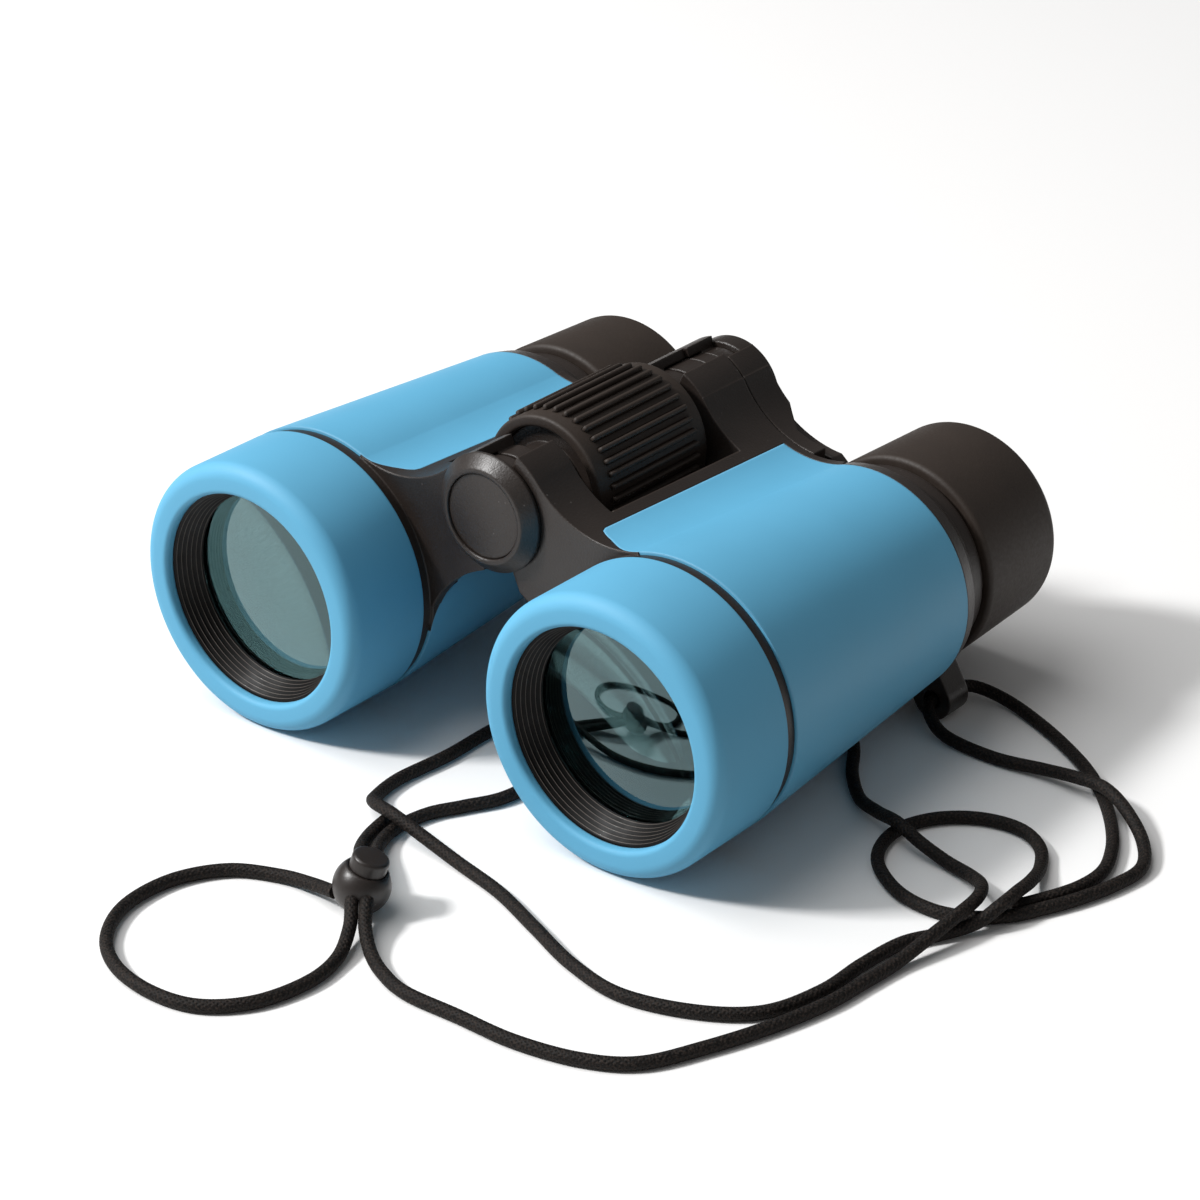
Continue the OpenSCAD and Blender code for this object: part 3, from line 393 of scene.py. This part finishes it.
def finish_of(slot):
    """The material of a slot of the record, made once."""
    look = bpy.context.scene.binocular_colours
    makers = {
        "black_plastic": lambda: moulded_black("black_plastic", look.black_plastic, 0.37, 0.8, 0.6),
        "lock_plastic": lambda: moulded_black("lock_plastic", look.lock_plastic, 0.36, 0.3, 0.6),
        "blue_rubber": lambda: blue_skin("blue_rubber", look.blue, 0.5, 0.25, 0.3),
        "blue_plastic": lambda: blue_skin("blue_plastic", look.blue, 0.62, 0.15, 0.3),
        "black_rubber": lambda: matt_rubber("black_rubber", look.black_rubber, 0.58),
        "baffle_black": lambda: baffle_black("baffle_black", look.baffle, CELL_START, CELL_PITCH),
        "lens_glass": lambda: coated_glass("lens_glass", look.lens),
        "cord": lambda: braided_cord("cord", look.cord),
        "steel": lambda: bright_metal("steel", (0.55, 0.55, 0.54), 0.32),
        "white_plastic": lambda: plain_plastic("white_plastic", (0.60, 0.58, 0.54), 0.5),
    }
    if slot not in FINISHES:
        FINISHES[slot] = makers[slot]()
    return FINISHES[slot]


def new_piece(name, mesh, slot, body, nodes, sharp=35.0):
    """Links a finished mesh, gives it its material and lets it stand for its CAD nodes."""
    piece = bpy.data.objects.new(name, mesh)
    bpy.context.scene.collection.objects.link(piece)
    mesh.materials.clear()
    mesh.materials.append(finish_of(slot))
    mesh.shade_smooth()
    mesh.set_sharp_from_angle(angle=math.radians(sharp))
    if nodes:
        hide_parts(*nodes)
    if body:
        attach(piece, body)
    return piece


def arc(r, y, radius, start, end, steps=10):
    """Points of a round corner in radius and station, from one angle to another."""
    points = []
    for i in range(steps + 1):
        angle = math.radians(start + (end - start) * i / steps)
        points.append((r + radius * math.cos(angle), y + radius * math.sin(angle)))
    return points


def turned(name, profile, x, z, segments=160):
    """A closed profile of radius and station, turned about an axis along Y."""
    bm = bmesh.new()
    rings = []
    for radius, y in profile:
        if radius < 1e-7:
            rings.append([bm.verts.new((x, y, z))])
            continue
        ring = []
        for k in range(segments):
            angle = 2 * math.pi * k / segments
            ring.append(bm.verts.new((x + radius * math.cos(angle), y, z + radius * math.sin(angle))))
        rings.append(ring)
    for first, second in zip(rings, rings[1:] + rings[:1]):
        for k in range(segments):
            corners = [first[k % len(first)], first[(k + 1) % len(first)],
                       second[(k + 1) % len(second)], second[k % len(second)]]
            unique = list(dict.fromkeys(corners))
            if len(unique) > 2:
                bm.faces.new(unique)
    bmesh.ops.recalc_face_normals(bm, faces=bm.faces)
    mesh = bpy.data.meshes.new(name)
    bm.to_mesh(mesh)
    bm.free()
    return mesh


def smooth_route(points, spacing):
    """A smooth line through the route's points, as evenly spaced points in metres."""
    knots = [Vector(p) * MM for p in points]
    ends = [2 * knots[0] - knots[1], *knots, 2 * knots[-1] - knots[-2]]
    fine = []
    for i in range(1, len(ends) - 2):
        a, b, c, d = ends[i - 1:i + 3]
        steps = max(2, round((c - b).length / (spacing / 4)))
        for k in range(steps):
            t = k / steps
            fine.append(0.5 * (2 * b + (c - a) * t + (2 * a - 5 * b + 4 * c - d) * t * t
                               + (3 * b - a - 3 * c + d) * t ** 3))
    fine.append(knots[-1])
    total = sum((q - p).length for p, q in zip(fine, fine[1:]))
    count = max(2, round(total / spacing))
    even, walked, next_mark = [fine[0]], 0.0, total / count
    for p, q in zip(fine, fine[1:]):
        step = (q - p).length
        while walked + step >= next_mark - 1e-12 and len(even) < count:
            even.append(p.lerp(q, (next_mark - walked) / step))
            next_mark += total / count
        walked += step
    even.append(fine[-1])
    return even


def braid_tube(name, line, radius, sides=32, relief=0.1):
    """A tube along a line whose skin rises and falls with the strands of a braid."""
    verts, faces, marks = [], [], []
    walked = 0.0
    for i, point in enumerate(line):
        before, after = line[max(i - 1, 0)], line[min(i + 1, len(line) - 1)]
        along = (after - before).normalized()
        side = along.cross(Vector((0, 0, 1))).normalized()
        up = side.cross(along)
        if i:
            walked += (point - line[i - 1]).length
        lay = walked / (2 * radius) * BRAID_LAY
        for k in range(sides):
            share = k / sides
            strand = BRAID_CARRIERS * share
            crossing = max(abs(math.sin(math.pi * (strand + lay))), abs(math.sin(math.pi * (strand - lay))))
            r = radius * (1 - relief + relief * crossing)
            angle = 2 * math.pi * share
            verts.append(point + r * (math.cos(angle) * side + math.sin(angle) * up))
        marks.append(walked / (2 * radius))
    for i in range(len(line) - 1):
        for k in range(sides):
            a, b = i * sides + k, i * sides + (k + 1) % sides
            faces.append((a, b, b + sides, a + sides))
    faces.append(tuple(reversed(range(sides))))
    faces.append(tuple(range((len(line) - 1) * sides, len(line) * sides)))
    mesh = bpy.data.meshes.new(name)
    mesh.from_pydata(verts, [], faces)
    layer = mesh.uv_layers.new(name="UVMap")
    for face in mesh.polygons[:-2]:
        i, k = divmod(face.index, sides)
        for loop, (row, column) in zip(face.loop_indices, ((0, 0), (0, 1), (1, 1), (1, 0))):
            layer.data[loop].uv = ((k + column) / sides, marks[i + row])
    bm = bmesh.new()
    bm.from_mesh(mesh)
    bmesh.ops.recalc_face_normals(bm, faces=bm.faces)
    bm.to_mesh(mesh)
    bm.free()
    return mesh


class BinocularSizes(bpy.types.PropertyGroup):
    """Sizes of the pieces that the looks add to the part."""

    cord_diameter: FloatProperty(
        name="Cord diameter", description="Thickness of the neck cord",
        default=2.0 * MM, min=1.5 * MM, max=2.2 * MM, subtype="DISTANCE", unit="LENGTH")
    ring_round: FloatProperty(
        name="Ring lip", description="Rounding of a front ring's outer lip",
        default=2.4 * MM, min=1.0 * MM, max=4.0 * MM, subtype="DISTANCE", unit="LENGTH")
    rib_count: IntProperty(
        name="Wheel ribs", description="Ribs round the focus wheel", default=36, min=24, max=44)
    rib_height: FloatProperty(
        name="Rib height", description="Height of a rib above the tyre",
        default=0.8 * MM, min=0.3 * MM, max=0.9 * MM, subtype="DISTANCE", unit="LENGTH")
    rib_width: FloatProperty(
        name="Rib width", description="Width of a rib",
        default=0.8 * MM, min=0.6 * MM, max=1.3 * MM, subtype="DISTANCE", unit="LENGTH")
    rib_margin: FloatProperty(
        name="Wheel rim", description="Plain rim of the tyre at each end of the ribs",
        default=2.6 * MM, min=0.5 * MM, max=3.0 * MM, subtype="DISTANCE", unit="LENGTH")
    lens_bulge: FloatProperty(
        name="Lens bulge", description="Height of an objective's dome",
        default=1.6 * MM, min=0.5 * MM, max=2.0 * MM, subtype="DISTANCE", unit="LENGTH")
    camera_lens: FloatProperty(
        name="Camera lens", description="Focal length of the studio camera",
        default=110.74, min=20.0, max=300.0)


class BinocularColours(bpy.types.PropertyGroup):
    """Colours of the finishes, as linear values."""

    blue: FloatVectorProperty(
        name="Blue", description="Grips and front rings", subtype="COLOR", size=3, min=0, max=1,
        default=(0.12, 0.43, 0.66))
    black_plastic: FloatVectorProperty(
        name="Black plastic", description="Halves, arms and caps", subtype="COLOR", size=3, min=0, max=1,
        default=(0.022, 0.016, 0.0132))
    lock_plastic: FloatVectorProperty(
        name="Lock plastic", description="Ball and button of the cord lock", subtype="COLOR", size=3,
        min=0, max=1, default=(0.022, 0.017, 0.015))
    black_rubber: FloatVectorProperty(
        name="Black rubber", description="Eyecups and wheel tyre", subtype="COLOR", size=3, min=0, max=1,
        default=(0.026, 0.0168, 0.0118))
    baffle: FloatVectorProperty(
        name="Baffle", description="Inside of the lens cells", subtype="COLOR", size=3, min=0, max=1,
        default=(0.003, 0.0027, 0.0025))
    lens: FloatVectorProperty(
        name="Lens", description="Tint of the lenses", subtype="COLOR", size=3, min=0, max=1,
        default=(0.55, 0.82, 0.82))
    cord: FloatVectorProperty(
        name="Cord", description="Braid of the neck cord", subtype="COLOR", size=3, min=0, max=1,
        default=(0.006, 0.0044, 0.0036))
    floor: FloatVectorProperty(
        name="Floor", description="Studio floor", subtype="COLOR", size=3, min=0, max=1,
        default=(0.98, 0.974, 0.966))


class BINOCULARS_OT_stage(bpy.types.Operator):
    """Make the camera, the pale floor and the soft studio light"""

    bl_idname = "binoculars.stage"
    bl_label = "Stage"

    def execute(self, context):
        scene = context.scene
        scene.view_settings.view_transform = "Standard"
        self.camera(scene)
        self.floor(scene)
        self.light(scene)
        return {"FINISHED"}

    def camera(self, scene):
        data = bpy.data.cameras.new("camera")
        data.lens = scene.binocular_sizes.camera_lens
        data.sensor_width = 36.0
        data.clip_start = 0.01
        camera = bpy.data.objects.new("camera", data)
        camera.location = CAMERA_EYE
        camera.rotation_euler = (CAMERA_TARGET - CAMERA_EYE).to_track_quat("-Z", "Y").to_euler()
        scene.collection.objects.link(camera)
        scene.camera = camera

    def floor(self, scene):
        mesh = bpy.data.meshes.new("floor")
        corners = [(x * FLOOR_HALF, y * FLOOR_HALF, 0) for x, y in ((-1, -1), (1, -1), (1, 1), (-1, 1))]
        mesh.from_pydata(corners, [], [(0, 1, 2, 3)])
        floor = bpy.data.objects.new("floor", mesh)
        scene.collection.objects.link(floor)
        g = Graph("floor")
        path = g.node("ShaderNodeLightPath")
        seen = Value(g, path.outputs["Is Camera Ray"]) + Value(g, path.outputs["Is Glossy Ray"])
        seen = (seen + Value(g, path.outputs["Is Transmission Ray"])).clamped()
        pale = scene.binocular_colours.floor
        g.set(base_color=g.mixed(seen, rgba(pale, FLOOR_BOUNCE), rgba(pale)), roughness=0.7)
        g.shader.inputs["Specular IOR Level"].default_value = 0.2
        mesh.materials.append(g.material)

    def light(self, scene):
        world = bpy.data.worlds.new("studio")
        world.use_nodes = True
        tree = world.node_tree
        background = tree.nodes["Background"]
        background.inputs[0].default_value = (1.0, 1.0, 1.0, 1.0)
        path = tree.nodes.new("ShaderNodeLightPath")
        level = tree.nodes.new("ShaderNodeMapRange")
        level.inputs["To Min"].default_value = WORLD_FILL
        level.inputs["To Max"].default_value = 1.0
        tree.links.new(path.outputs["Is Camera Ray"], level.inputs["Value"])
        tree.links.new(level.outputs[0], background.inputs[1])
        scene.world = world
        for name, (turn, rise, far, size, power) in LAMPS.items():
            turn, rise = math.radians(turn), math.radians(rise)
            data = bpy.data.lights.new(name, "AREA")
            data.size = size
            data.energy = power
            lamp = bpy.data.objects.new(name, data)
            reach = far * math.cos(rise)
            lamp.location = (reach * math.cos(turn), reach * math.sin(turn), far * math.sin(rise))
            lamp.rotation_euler = (-lamp.location).to_track_quat("-Z", "Y").to_euler()
            scene.collection.objects.link(lamp)


class BINOCULARS_OT_cord_lock(bpy.types.Operator):
    """Turn the ball of the cord lock and its button"""

    bl_idname = "binoculars.cord_lock"
    bl_label = "Cord lock"

    def execute(self, context):
        lean = (Matrix.Translation(LOCK) @ Matrix.Rotation(LOCK_TURN, 4, "Z")
                @ Matrix.Rotation(BUTTON_TILT, 4, "Y"))
        stand = lean @ Matrix.Rotation(math.pi / 2, 4, "X")
        top, reach, gap = 0.682 * BALL_R, 0.647 * BALL_R, 0.2 * MM
        seat, soft = 1.188 * BALL_R - reach - 1.4 * MM, 0.25 * MM
        rise = math.asin(top / BALL_R)
        edge = math.degrees(rise)
        ball = [(0.0, -BALL_R), *arc(0, 0, BALL_R, -88, edge - 2, 48),
                *arc(BALL_R * math.cos(rise) - soft, top - soft, soft, 60, 90, 4),
                (reach + gap, top), (reach + gap, seat), (0.0, seat)]
        high, foot, crown = 1.188 * BALL_R, 1.188 * BALL_R - reach, 0.5 * MM
        button = [(0.0, foot), (reach, foot), *arc(reach - crown, high - crown, crown, 0, 90, 8), (0.0, high)]
        for name, profile, node, body in (
                ("lock_ball", ball, "cord_lock_ball", "right_half"),
                ("lock_button", button, "cord_lock_button", "lock_button")):
            mesh = turned(name, profile, 0, 0, 96)
            mesh.transform(stand)
            new_piece(name, mesh, "lock_plastic", body, [node], 50.0)
        return {"FINISHED"}


class BINOCULARS_OT_neck_cord(bpy.types.Operator):
    """Lay the braided neck cord along its routes"""

    bl_idname = "binoculars.neck_cord"
    bl_label = "Neck cord"

    def execute(self, context):
        diameter = context.scene.binocular_sizes.cord_diameter
        spacing = 0.2 * MM
        stretches = (
            ("cord_right", RIGHT_ROUTE, "neck_cord_right", "object", []),
            ("cord_right_end", RIGHT_END_ROUTE, "neck_cord_right", "bare", []),
            ("cord_front", FRONT_ROUTE, "neck_cord_front", "object", []),
            ("cord_left", LEFT_ROUTE, "neck_cord_left", "fitting", ["lock_ball", "lock_button", "cord_tail"]),
            ("cord_loop", LOOP_ROUTE, "neck_cord_loop", "object", []),
        )
        tail = smooth_route(TAIL_ROUTE, spacing)
        new_piece("cord_tail", braid_tube("cord_tail", tail, diameter / 2), "cord", "right_half",
                  ["neck_cord_tail"], 80.0)
        for name, route, node, far_end, pieces in stretches:
            line = smooth_route(route, spacing)
            mesh = braid_tube(name, line, diameter / 2)
            body = None if name in ("cord_left", "cord_right") else "right_half"
            piece = new_piece(name, mesh, "cord", body, [node], 80.0)
            if name == "cord_left":
                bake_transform(piece)
            elif name == "cord_right":
                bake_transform(piece)
            length = sum((q - p).length for p, q in zip(line, line[1:]))
        return {"FINISHED"}


class BINOCULARS_OT_front_rings(bpy.types.Operator):
    """Turn the blue front rings with their soft round lips"""

    bl_idname = "binoculars.front_rings"
    bl_label = "Front rings"

    def execute(self, context):
        soft = context.scene.binocular_sizes.ring_round
        lip, opening, wall = 0.8 * MM, 17.2 * MM, 1.55 * MM
        lip_end = FRONT + 1.6 * MM
        rim = 0.35 * MM
        back = FRONT + RING_LEN
        profile = [
            *arc(opening + lip, FRONT + lip, lip, 180, 270),
            *arc(RING_R - soft, FRONT + soft, soft, -90, 0, 14),
            *arc(RING_R - rim, back - rim, rim, 0, 90, 5),
            (RING_R - wall, back), (RING_R - wall, lip_end), (opening, lip_end),
        ]
        for side, sign in SIDES.items():
            mesh = turned(side + "_ring", profile, sign * BARREL_X, BARREL_Z)
            new_piece(side + "_ring", mesh, "blue_plastic", side + "_half", [side + "_front_ring"])
        return {"FINISHED"}


class BINOCULARS_OT_eyecups(bpy.types.Operator):
    """Turn the rubber eyecups with their rounded rims"""

    bl_idname = "binoculars.eyecups"
    bl_label = "Eyecups"

    def execute(self, context):
        start, tube = CUP_LOW.y, 14.25 * MM
        front_r, rear_r = (CUP_HIGH.x - CUP_LOW.x) / 2, 16.5 * MM
        soft, edge = 2.0 * MM, 0.8 * MM
        mouth, seat, floor_y = 12.6 * MM, 9.8 * MM, REAR - 7.45 * MM
        profile = [
            (tube, start),
            *arc(front_r - edge, start + edge, edge, -90, 0, 8),
            *arc(rear_r - soft, REAR - soft, soft, 0, 90, 14),
            *arc(mouth + soft, REAR - soft / 2, soft / 2, 90, 180, 10),
            (seat, floor_y + edge), (seat, floor_y), (tube, floor_y),
        ]
        for side, sign in SIDES.items():
            mesh = turned(side + "_cup", profile, sign * BARREL_X, BARREL_Z)
            new_piece(side + "_cup", mesh, "black_rubber", side + "_eyepiece", [side + "_eyecup"])
        return {"FINISHED"}


class BINOCULARS_OT_objectives(bpy.types.Operator):
    """Turn the ridged lens cells and the domed objective lenses"""

    bl_idname = "binoculars.objectives"
    bl_label = "Objectives"

    def execute(self, context):
        mouth, throat, outside, lens = 17.0 * MM, 15.3 * MM, 17.85 * MM, 16.0 * MM
        start, back, seat, rear = CELL_START, CELL_START + CELL_LEN, FRONT + 6.5 * MM, FRONT + 8.7 * MM
        depth, crest, gap = 0.35 * MM, 0.07 * MM, 0.05 * MM
        pitch, slope = CELL_PITCH, (mouth - throat) / CELL_RIDGES
        cell = [(outside, start)]
        for i in range(CELL_RIDGES):
            r, y = mouth - i * slope, start + i * pitch
            cell.append((r, y))
            cell.extend(arc(r - slope + crest, y + 0.45 * pitch, crest, 250, 110, 4))
            cell.append((r - slope + depth, y + 0.65 * pitch))
        cell += [(throat, back), (lens + gap, seat), (lens + gap, rear), (outside, rear)]
        bulge = context.scene.binocular_sizes.lens_bulge
        ball = (lens * lens + bulge * bulge) / (2 * bulge)
        middle = seat + gap - bulge + ball
        dome = [(lens * i / 24, middle - math.sqrt(ball * ball - (lens * i / 24) ** 2)) for i in range(25)]
        glass = [*dome, (lens, rear), (0.0, rear)]
        for side, sign in SIDES.items():
            mesh = turned(side + "_cell", cell, sign * BARREL_X, BARREL_Z)
            new_piece(side + "_cell", mesh, "baffle_black", side + "_half", [side + "_lens_cell"], 50.0)
            mesh = turned(side + "_objective", glass, sign * BARREL_X, BARREL_Z)
            new_piece(side + "_objective", mesh, "lens_glass", side + "_half", [side + "_objective_lens"])
        return {"FINISHED"}


class BINOCULARS_OT_hinge_caps(bpy.types.Operator):
    """Turn the chamfered front cap, its plain disc and the rear cap"""

    bl_idname = "binoculars.hinge_caps"
    bl_label = "Hinge caps"

    def execute(self, context):
        front, back, rim = CAP_LOW.y, CAP_HIGH.y, (CAP_HIGH.x - CAP_LOW.x) / 2
        soft = 0.18 * MM
        face, shoulder, disc, sunk = rim - 1.9 * MM, front + 1.9 * MM, rim - 2.75 * MM, 0.4 * MM
        axle = 2.525 * MM
        cap = [
            (axle, back), (axle, back - 1.15 * MM), (0.0, back - 1.15 * MM), (0.0, front + 0.9 * MM),
            (disc + 0.05 * MM, front + 0.9 * MM),
            *arc(disc + 0.05 * MM + soft, front + soft, soft, 180, 270, 4),
            *arc(face - soft, front + 2 * soft, 2 * soft, -90, -45, 5),
            *arc(rim - soft, shoulder, soft, -45, 0, 5), *arc(rim - soft, back - soft, soft, 0, 90, 4),
        ]
        plate = [(0.0, front + sunk), *arc(disc - soft, front + sunk + soft, soft, -90, 0, 4),
                 (disc, front + 0.85 * MM), (0.0, front + 0.85 * MM)]
        low, high, end = REAR_CAP_LOW.y, REAR_CAP_HIGH.y, (REAR_CAP_HIGH.x - REAR_CAP_LOW.x) / 2
        slope, hollow, screw = 1.2 * MM, end - 3.1 * MM, 4.425 * MM
        rear = [
            (0.0, low + 2.25 * MM), (screw, low + 2.25 * MM), (screw, low),
            *arc(end - soft, low + soft, soft, -90, 0, 4), *arc(end - soft, high - slope, soft, 0, 45, 4),
            *arc(end - slope - soft, high - soft, soft, 45, 90, 4),
            *arc(hollow + soft, high - soft, soft, 90, 180, 4),
            (hollow, high - 0.5 * MM), (0.0, high - 0.5 * MM),
        ]
        for name, profile, body, node in (
                ("cap", cap, "right_half", "front_cap"), ("cap_disc", plate, "right_half", "front_cap_disc"),
                ("end_cap", rear, "right_eyepiece", "rear_cap")):
            new_piece(name, turned(name, profile, 0, HINGE_Z), "black_plastic", body, [node], 50.0)
        return {"FINISHED"}


class BINOCULARS_OT_focus_wheel(bpy.types.Operator):
    """Turn the wheel's core and tyre and set the ribs round the tyre"""

    bl_idname = "binoculars.focus_wheel"
    bl_label = "Focus wheel"

    def execute(self, context):
        sizes = context.scene.binocular_sizes
        start, end, over_ribs = TYRE_LOW.y, TYRE_HIGH.y, (TYRE_HIGH.x - TYRE_LOW.x) / 2
        skin, inner, soft = over_ribs - sizes.rib_height, over_ribs - 2.65 * MM, 0.5 * MM
        tyre = [
            *arc(inner + soft, start + soft, soft, 180, 270, 5),
            *arc(skin - soft, start + soft, soft, -90, 0, 6),
            *arc(skin - soft, end - soft, soft, 0, 90, 6),
            *arc(inner + soft, end - soft, soft, 90, 180, 5),
        ]
        base = bpy.data.objects.new("tyre_base", turned("tyre_base", tyre, 0, HINGE_Z))
        context.scene.collection.objects.link(base)
        tree = self.ribs()
        ribbed = base.modifiers.new("ribs", "NODES")
        ribbed.node_group = tree
        values = {
            "Ribs": sizes.rib_count, "Height": sizes.rib_height, "Width": sizes.rib_width, "Radius": skin,
            "Length": end - start - 2 * sizes.rib_margin, "Centre": (0.0, (start + end) / 2, HINGE_Z),
            "Material": finish_of("black_rubber"),
        }
        for item in tree.interface.items_tree:
            if item.in_out == "INPUT" and item.name in values:
                ribbed[item.identifier] = values[item.name]
        evaluated = base.evaluated_get(context.evaluated_depsgraph_get())
        mesh = bpy.data.meshes.new_from_object(evaluated)
        base.modifiers.clear()
        bpy.data.objects.remove(base)
        mesh.name = "tyre"
        new_piece("tyre", mesh, "black_rubber", "focus_wheel", ["focus_wheel_tyre"], 50.0)
        hub, bore, sunk, core = 6.5 * MM, 4.5 * MM, 1.4 * MM, inner - 0.05 * MM
        low, high = CORE_LOW.y, CORE_HIGH.y
        profile = [
            (bore, low), *arc(hub - soft / 2, low + soft / 2, soft / 2, -90, 0, 4), (hub, start + sunk),
            (core, start + sunk), (core, end - sunk), (hub, end - sunk),
            *arc(hub - soft / 2, high - soft / 2, soft / 2, 0, 90, 4), (bore, high),
        ]
        new_piece("wheel_core", turned("wheel_core", profile, 0, HINGE_Z), "black_plastic", "focus_wheel",
                  ["focus_wheel_core"], 50.0)
        return {"FINISHED"}

    def ribs(self):
        """A node tree that sets blunt ribs round a tyre."""
        tree = bpy.data.node_groups.new("wheel_ribs", "GeometryNodeTree")
        face = tree.interface
        face.new_socket("Geometry", in_out="INPUT", socket_type="NodeSocketGeometry")
        for name, kind in (("Ribs", "Int"), ("Height", "Float"), ("Width", "Float"), ("Radius", "Float"),
                           ("Length", "Float"), ("Centre", "Vector"), ("Material", "Material")):
            face.new_socket(name, in_out="INPUT", socket_type="NodeSocket" + kind)
        face.new_socket("Geometry", in_out="OUTPUT", socket_type="NodeSocketGeometry")

        def add(kind, settings=None, inputs=None):
            made = tree.nodes.new(kind)
            for key, value in (settings or {}).items():
                setattr(made, key, value)
            for key, value in (inputs or {}).items():
                if isinstance(value, bpy.types.NodeSocket):
                    tree.links.new(value, made.inputs[key])
                else:
                    made.inputs[key].default_value = value
            return made.outputs

        def maths(operation, first, second=0.0):
            return add("ShaderNodeMath", {"operation": operation}, {0: first, 1: second})[0]

        def boxed(share):
            return maths("MULTIPLY", maths("SIGN", share), maths("POWER", maths("ABSOLUTE", share), 0.5))

        given = add("NodeGroupInput")
        bead = add("GeometryNodeMeshUVSphere", {}, {"Segments": 12, "Rings": 9, "Radius": 1.0})[0]
        spot = add("ShaderNodeSeparateXYZ", {}, {0: add("GeometryNodeInputPosition")[0]})
        half = maths("MULTIPLY", given["Width"], 0.5)
        straight = maths("SUBTRACT", maths("MULTIPLY", given["Length"], 0.5), half)
        ends = maths("MULTIPLY", maths("SIGN", spot[2]), straight)
        along = maths("ADD", ends, maths("MULTIPLY", spot[2], half))
        out = maths("ADD", given["Radius"], maths("MULTIPLY", boxed(spot[0]), given["Height"]))
        across = maths("MULTIPLY", boxed(spot[1]), half)
        place = add("ShaderNodeCombineXYZ", {}, {0: out, 1: along, 2: across})[0]
        bar = add("GeometryNodeSetPosition", {}, {"Geometry": bead, "Position": place})[0]
        points = add("GeometryNodeMeshLine", {}, {
            "Count": given["Ribs"], "Start Location": given["Centre"], "Offset": (0.0, 0.0, 0.0)})[0]
        angle = maths("MULTIPLY", add("GeometryNodeInputIndex")[0], 2 * math.pi)
        turn = maths("DIVIDE", angle, given["Ribs"])
        euler = add("ShaderNodeCombineXYZ", {}, {1: turn})[0]
        bars = add("GeometryNodeInstanceOnPoints", {}, {
            "Points": points, "Instance": bar, "Rotation": euler})[0]
        solid = add("GeometryNodeRealizeInstances", {}, {"Geometry": bars})[0]
        joined = tree.nodes.new("GeometryNodeJoinGeometry")
        tree.links.new(given["Geometry"], joined.inputs[0])
        tree.links.new(solid, joined.inputs[0])
        done = add("GeometryNodeSetMaterial", {}, {
            "Geometry": joined.outputs[0], "Material": given["Material"]})[0]
        add("NodeGroupOutput", {}, {"Geometry": done})
        return tree


class BINOCULARS_OT_cad_finishes(bpy.types.Operator):
    """Give every moulded or turned node of the part its finish"""

    bl_idname = "binoculars.cad_finishes"
    bl_label = "Finishes of the moulded parts"

    def execute(self, context):
        for row in frame["record"]["subparts"]:
            node = frame["nodes"][row["node"]]
            node.data.materials.clear()
            node.data.materials.append(finish_of(row["material_slot"]))
        return {"FINISHED"}


class BINOCULARS_PT_panel(bpy.types.Panel):
    """Lists the pieces in the sidebar"""

    bl_idname = "BINOCULARS_PT_panel"
    bl_label = "Toy binoculars"
    bl_space_type = "VIEW_3D"
    bl_region_type = "UI"
    bl_category = "Binoculars"

    def draw(self, context):
        column = self.layout.column()
        for operator in OPERATORS:
            column.operator(operator.bl_idname)
        for group in (context.scene.binocular_sizes, context.scene.binocular_colours):
            for name in group.__annotations__:
                column.prop(group, name)


OPERATORS = (
    BINOCULARS_OT_stage,
    BINOCULARS_OT_cord_lock,
    BINOCULARS_OT_neck_cord,
    BINOCULARS_OT_front_rings,
    BINOCULARS_OT_eyecups,
    BINOCULARS_OT_objectives,
    BINOCULARS_OT_hinge_caps,
    BINOCULARS_OT_focus_wheel,
    BINOCULARS_OT_cad_finishes,
)
CLASSES = (BinocularSizes, BinocularColours, *OPERATORS, BINOCULARS_PT_panel)


def register():
    for item in CLASSES:
        bpy.utils.register_class(item)
    bpy.types.Scene.binocular_sizes = PointerProperty(type=BinocularSizes)
    bpy.types.Scene.binocular_colours = PointerProperty(type=BinocularColours)


def unregister():
    del bpy.types.Scene.binocular_colours
    del bpy.types.Scene.binocular_sizes
    for item in reversed(CLASSES):
        bpy.utils.unregister_class(item)


def main():
    register()
    for operator in OPERATORS:
        group, name = operator.bl_idname.split(".")
        getattr(getattr(bpy.ops, group), name)()


if __name__ == "__main__":
    main()
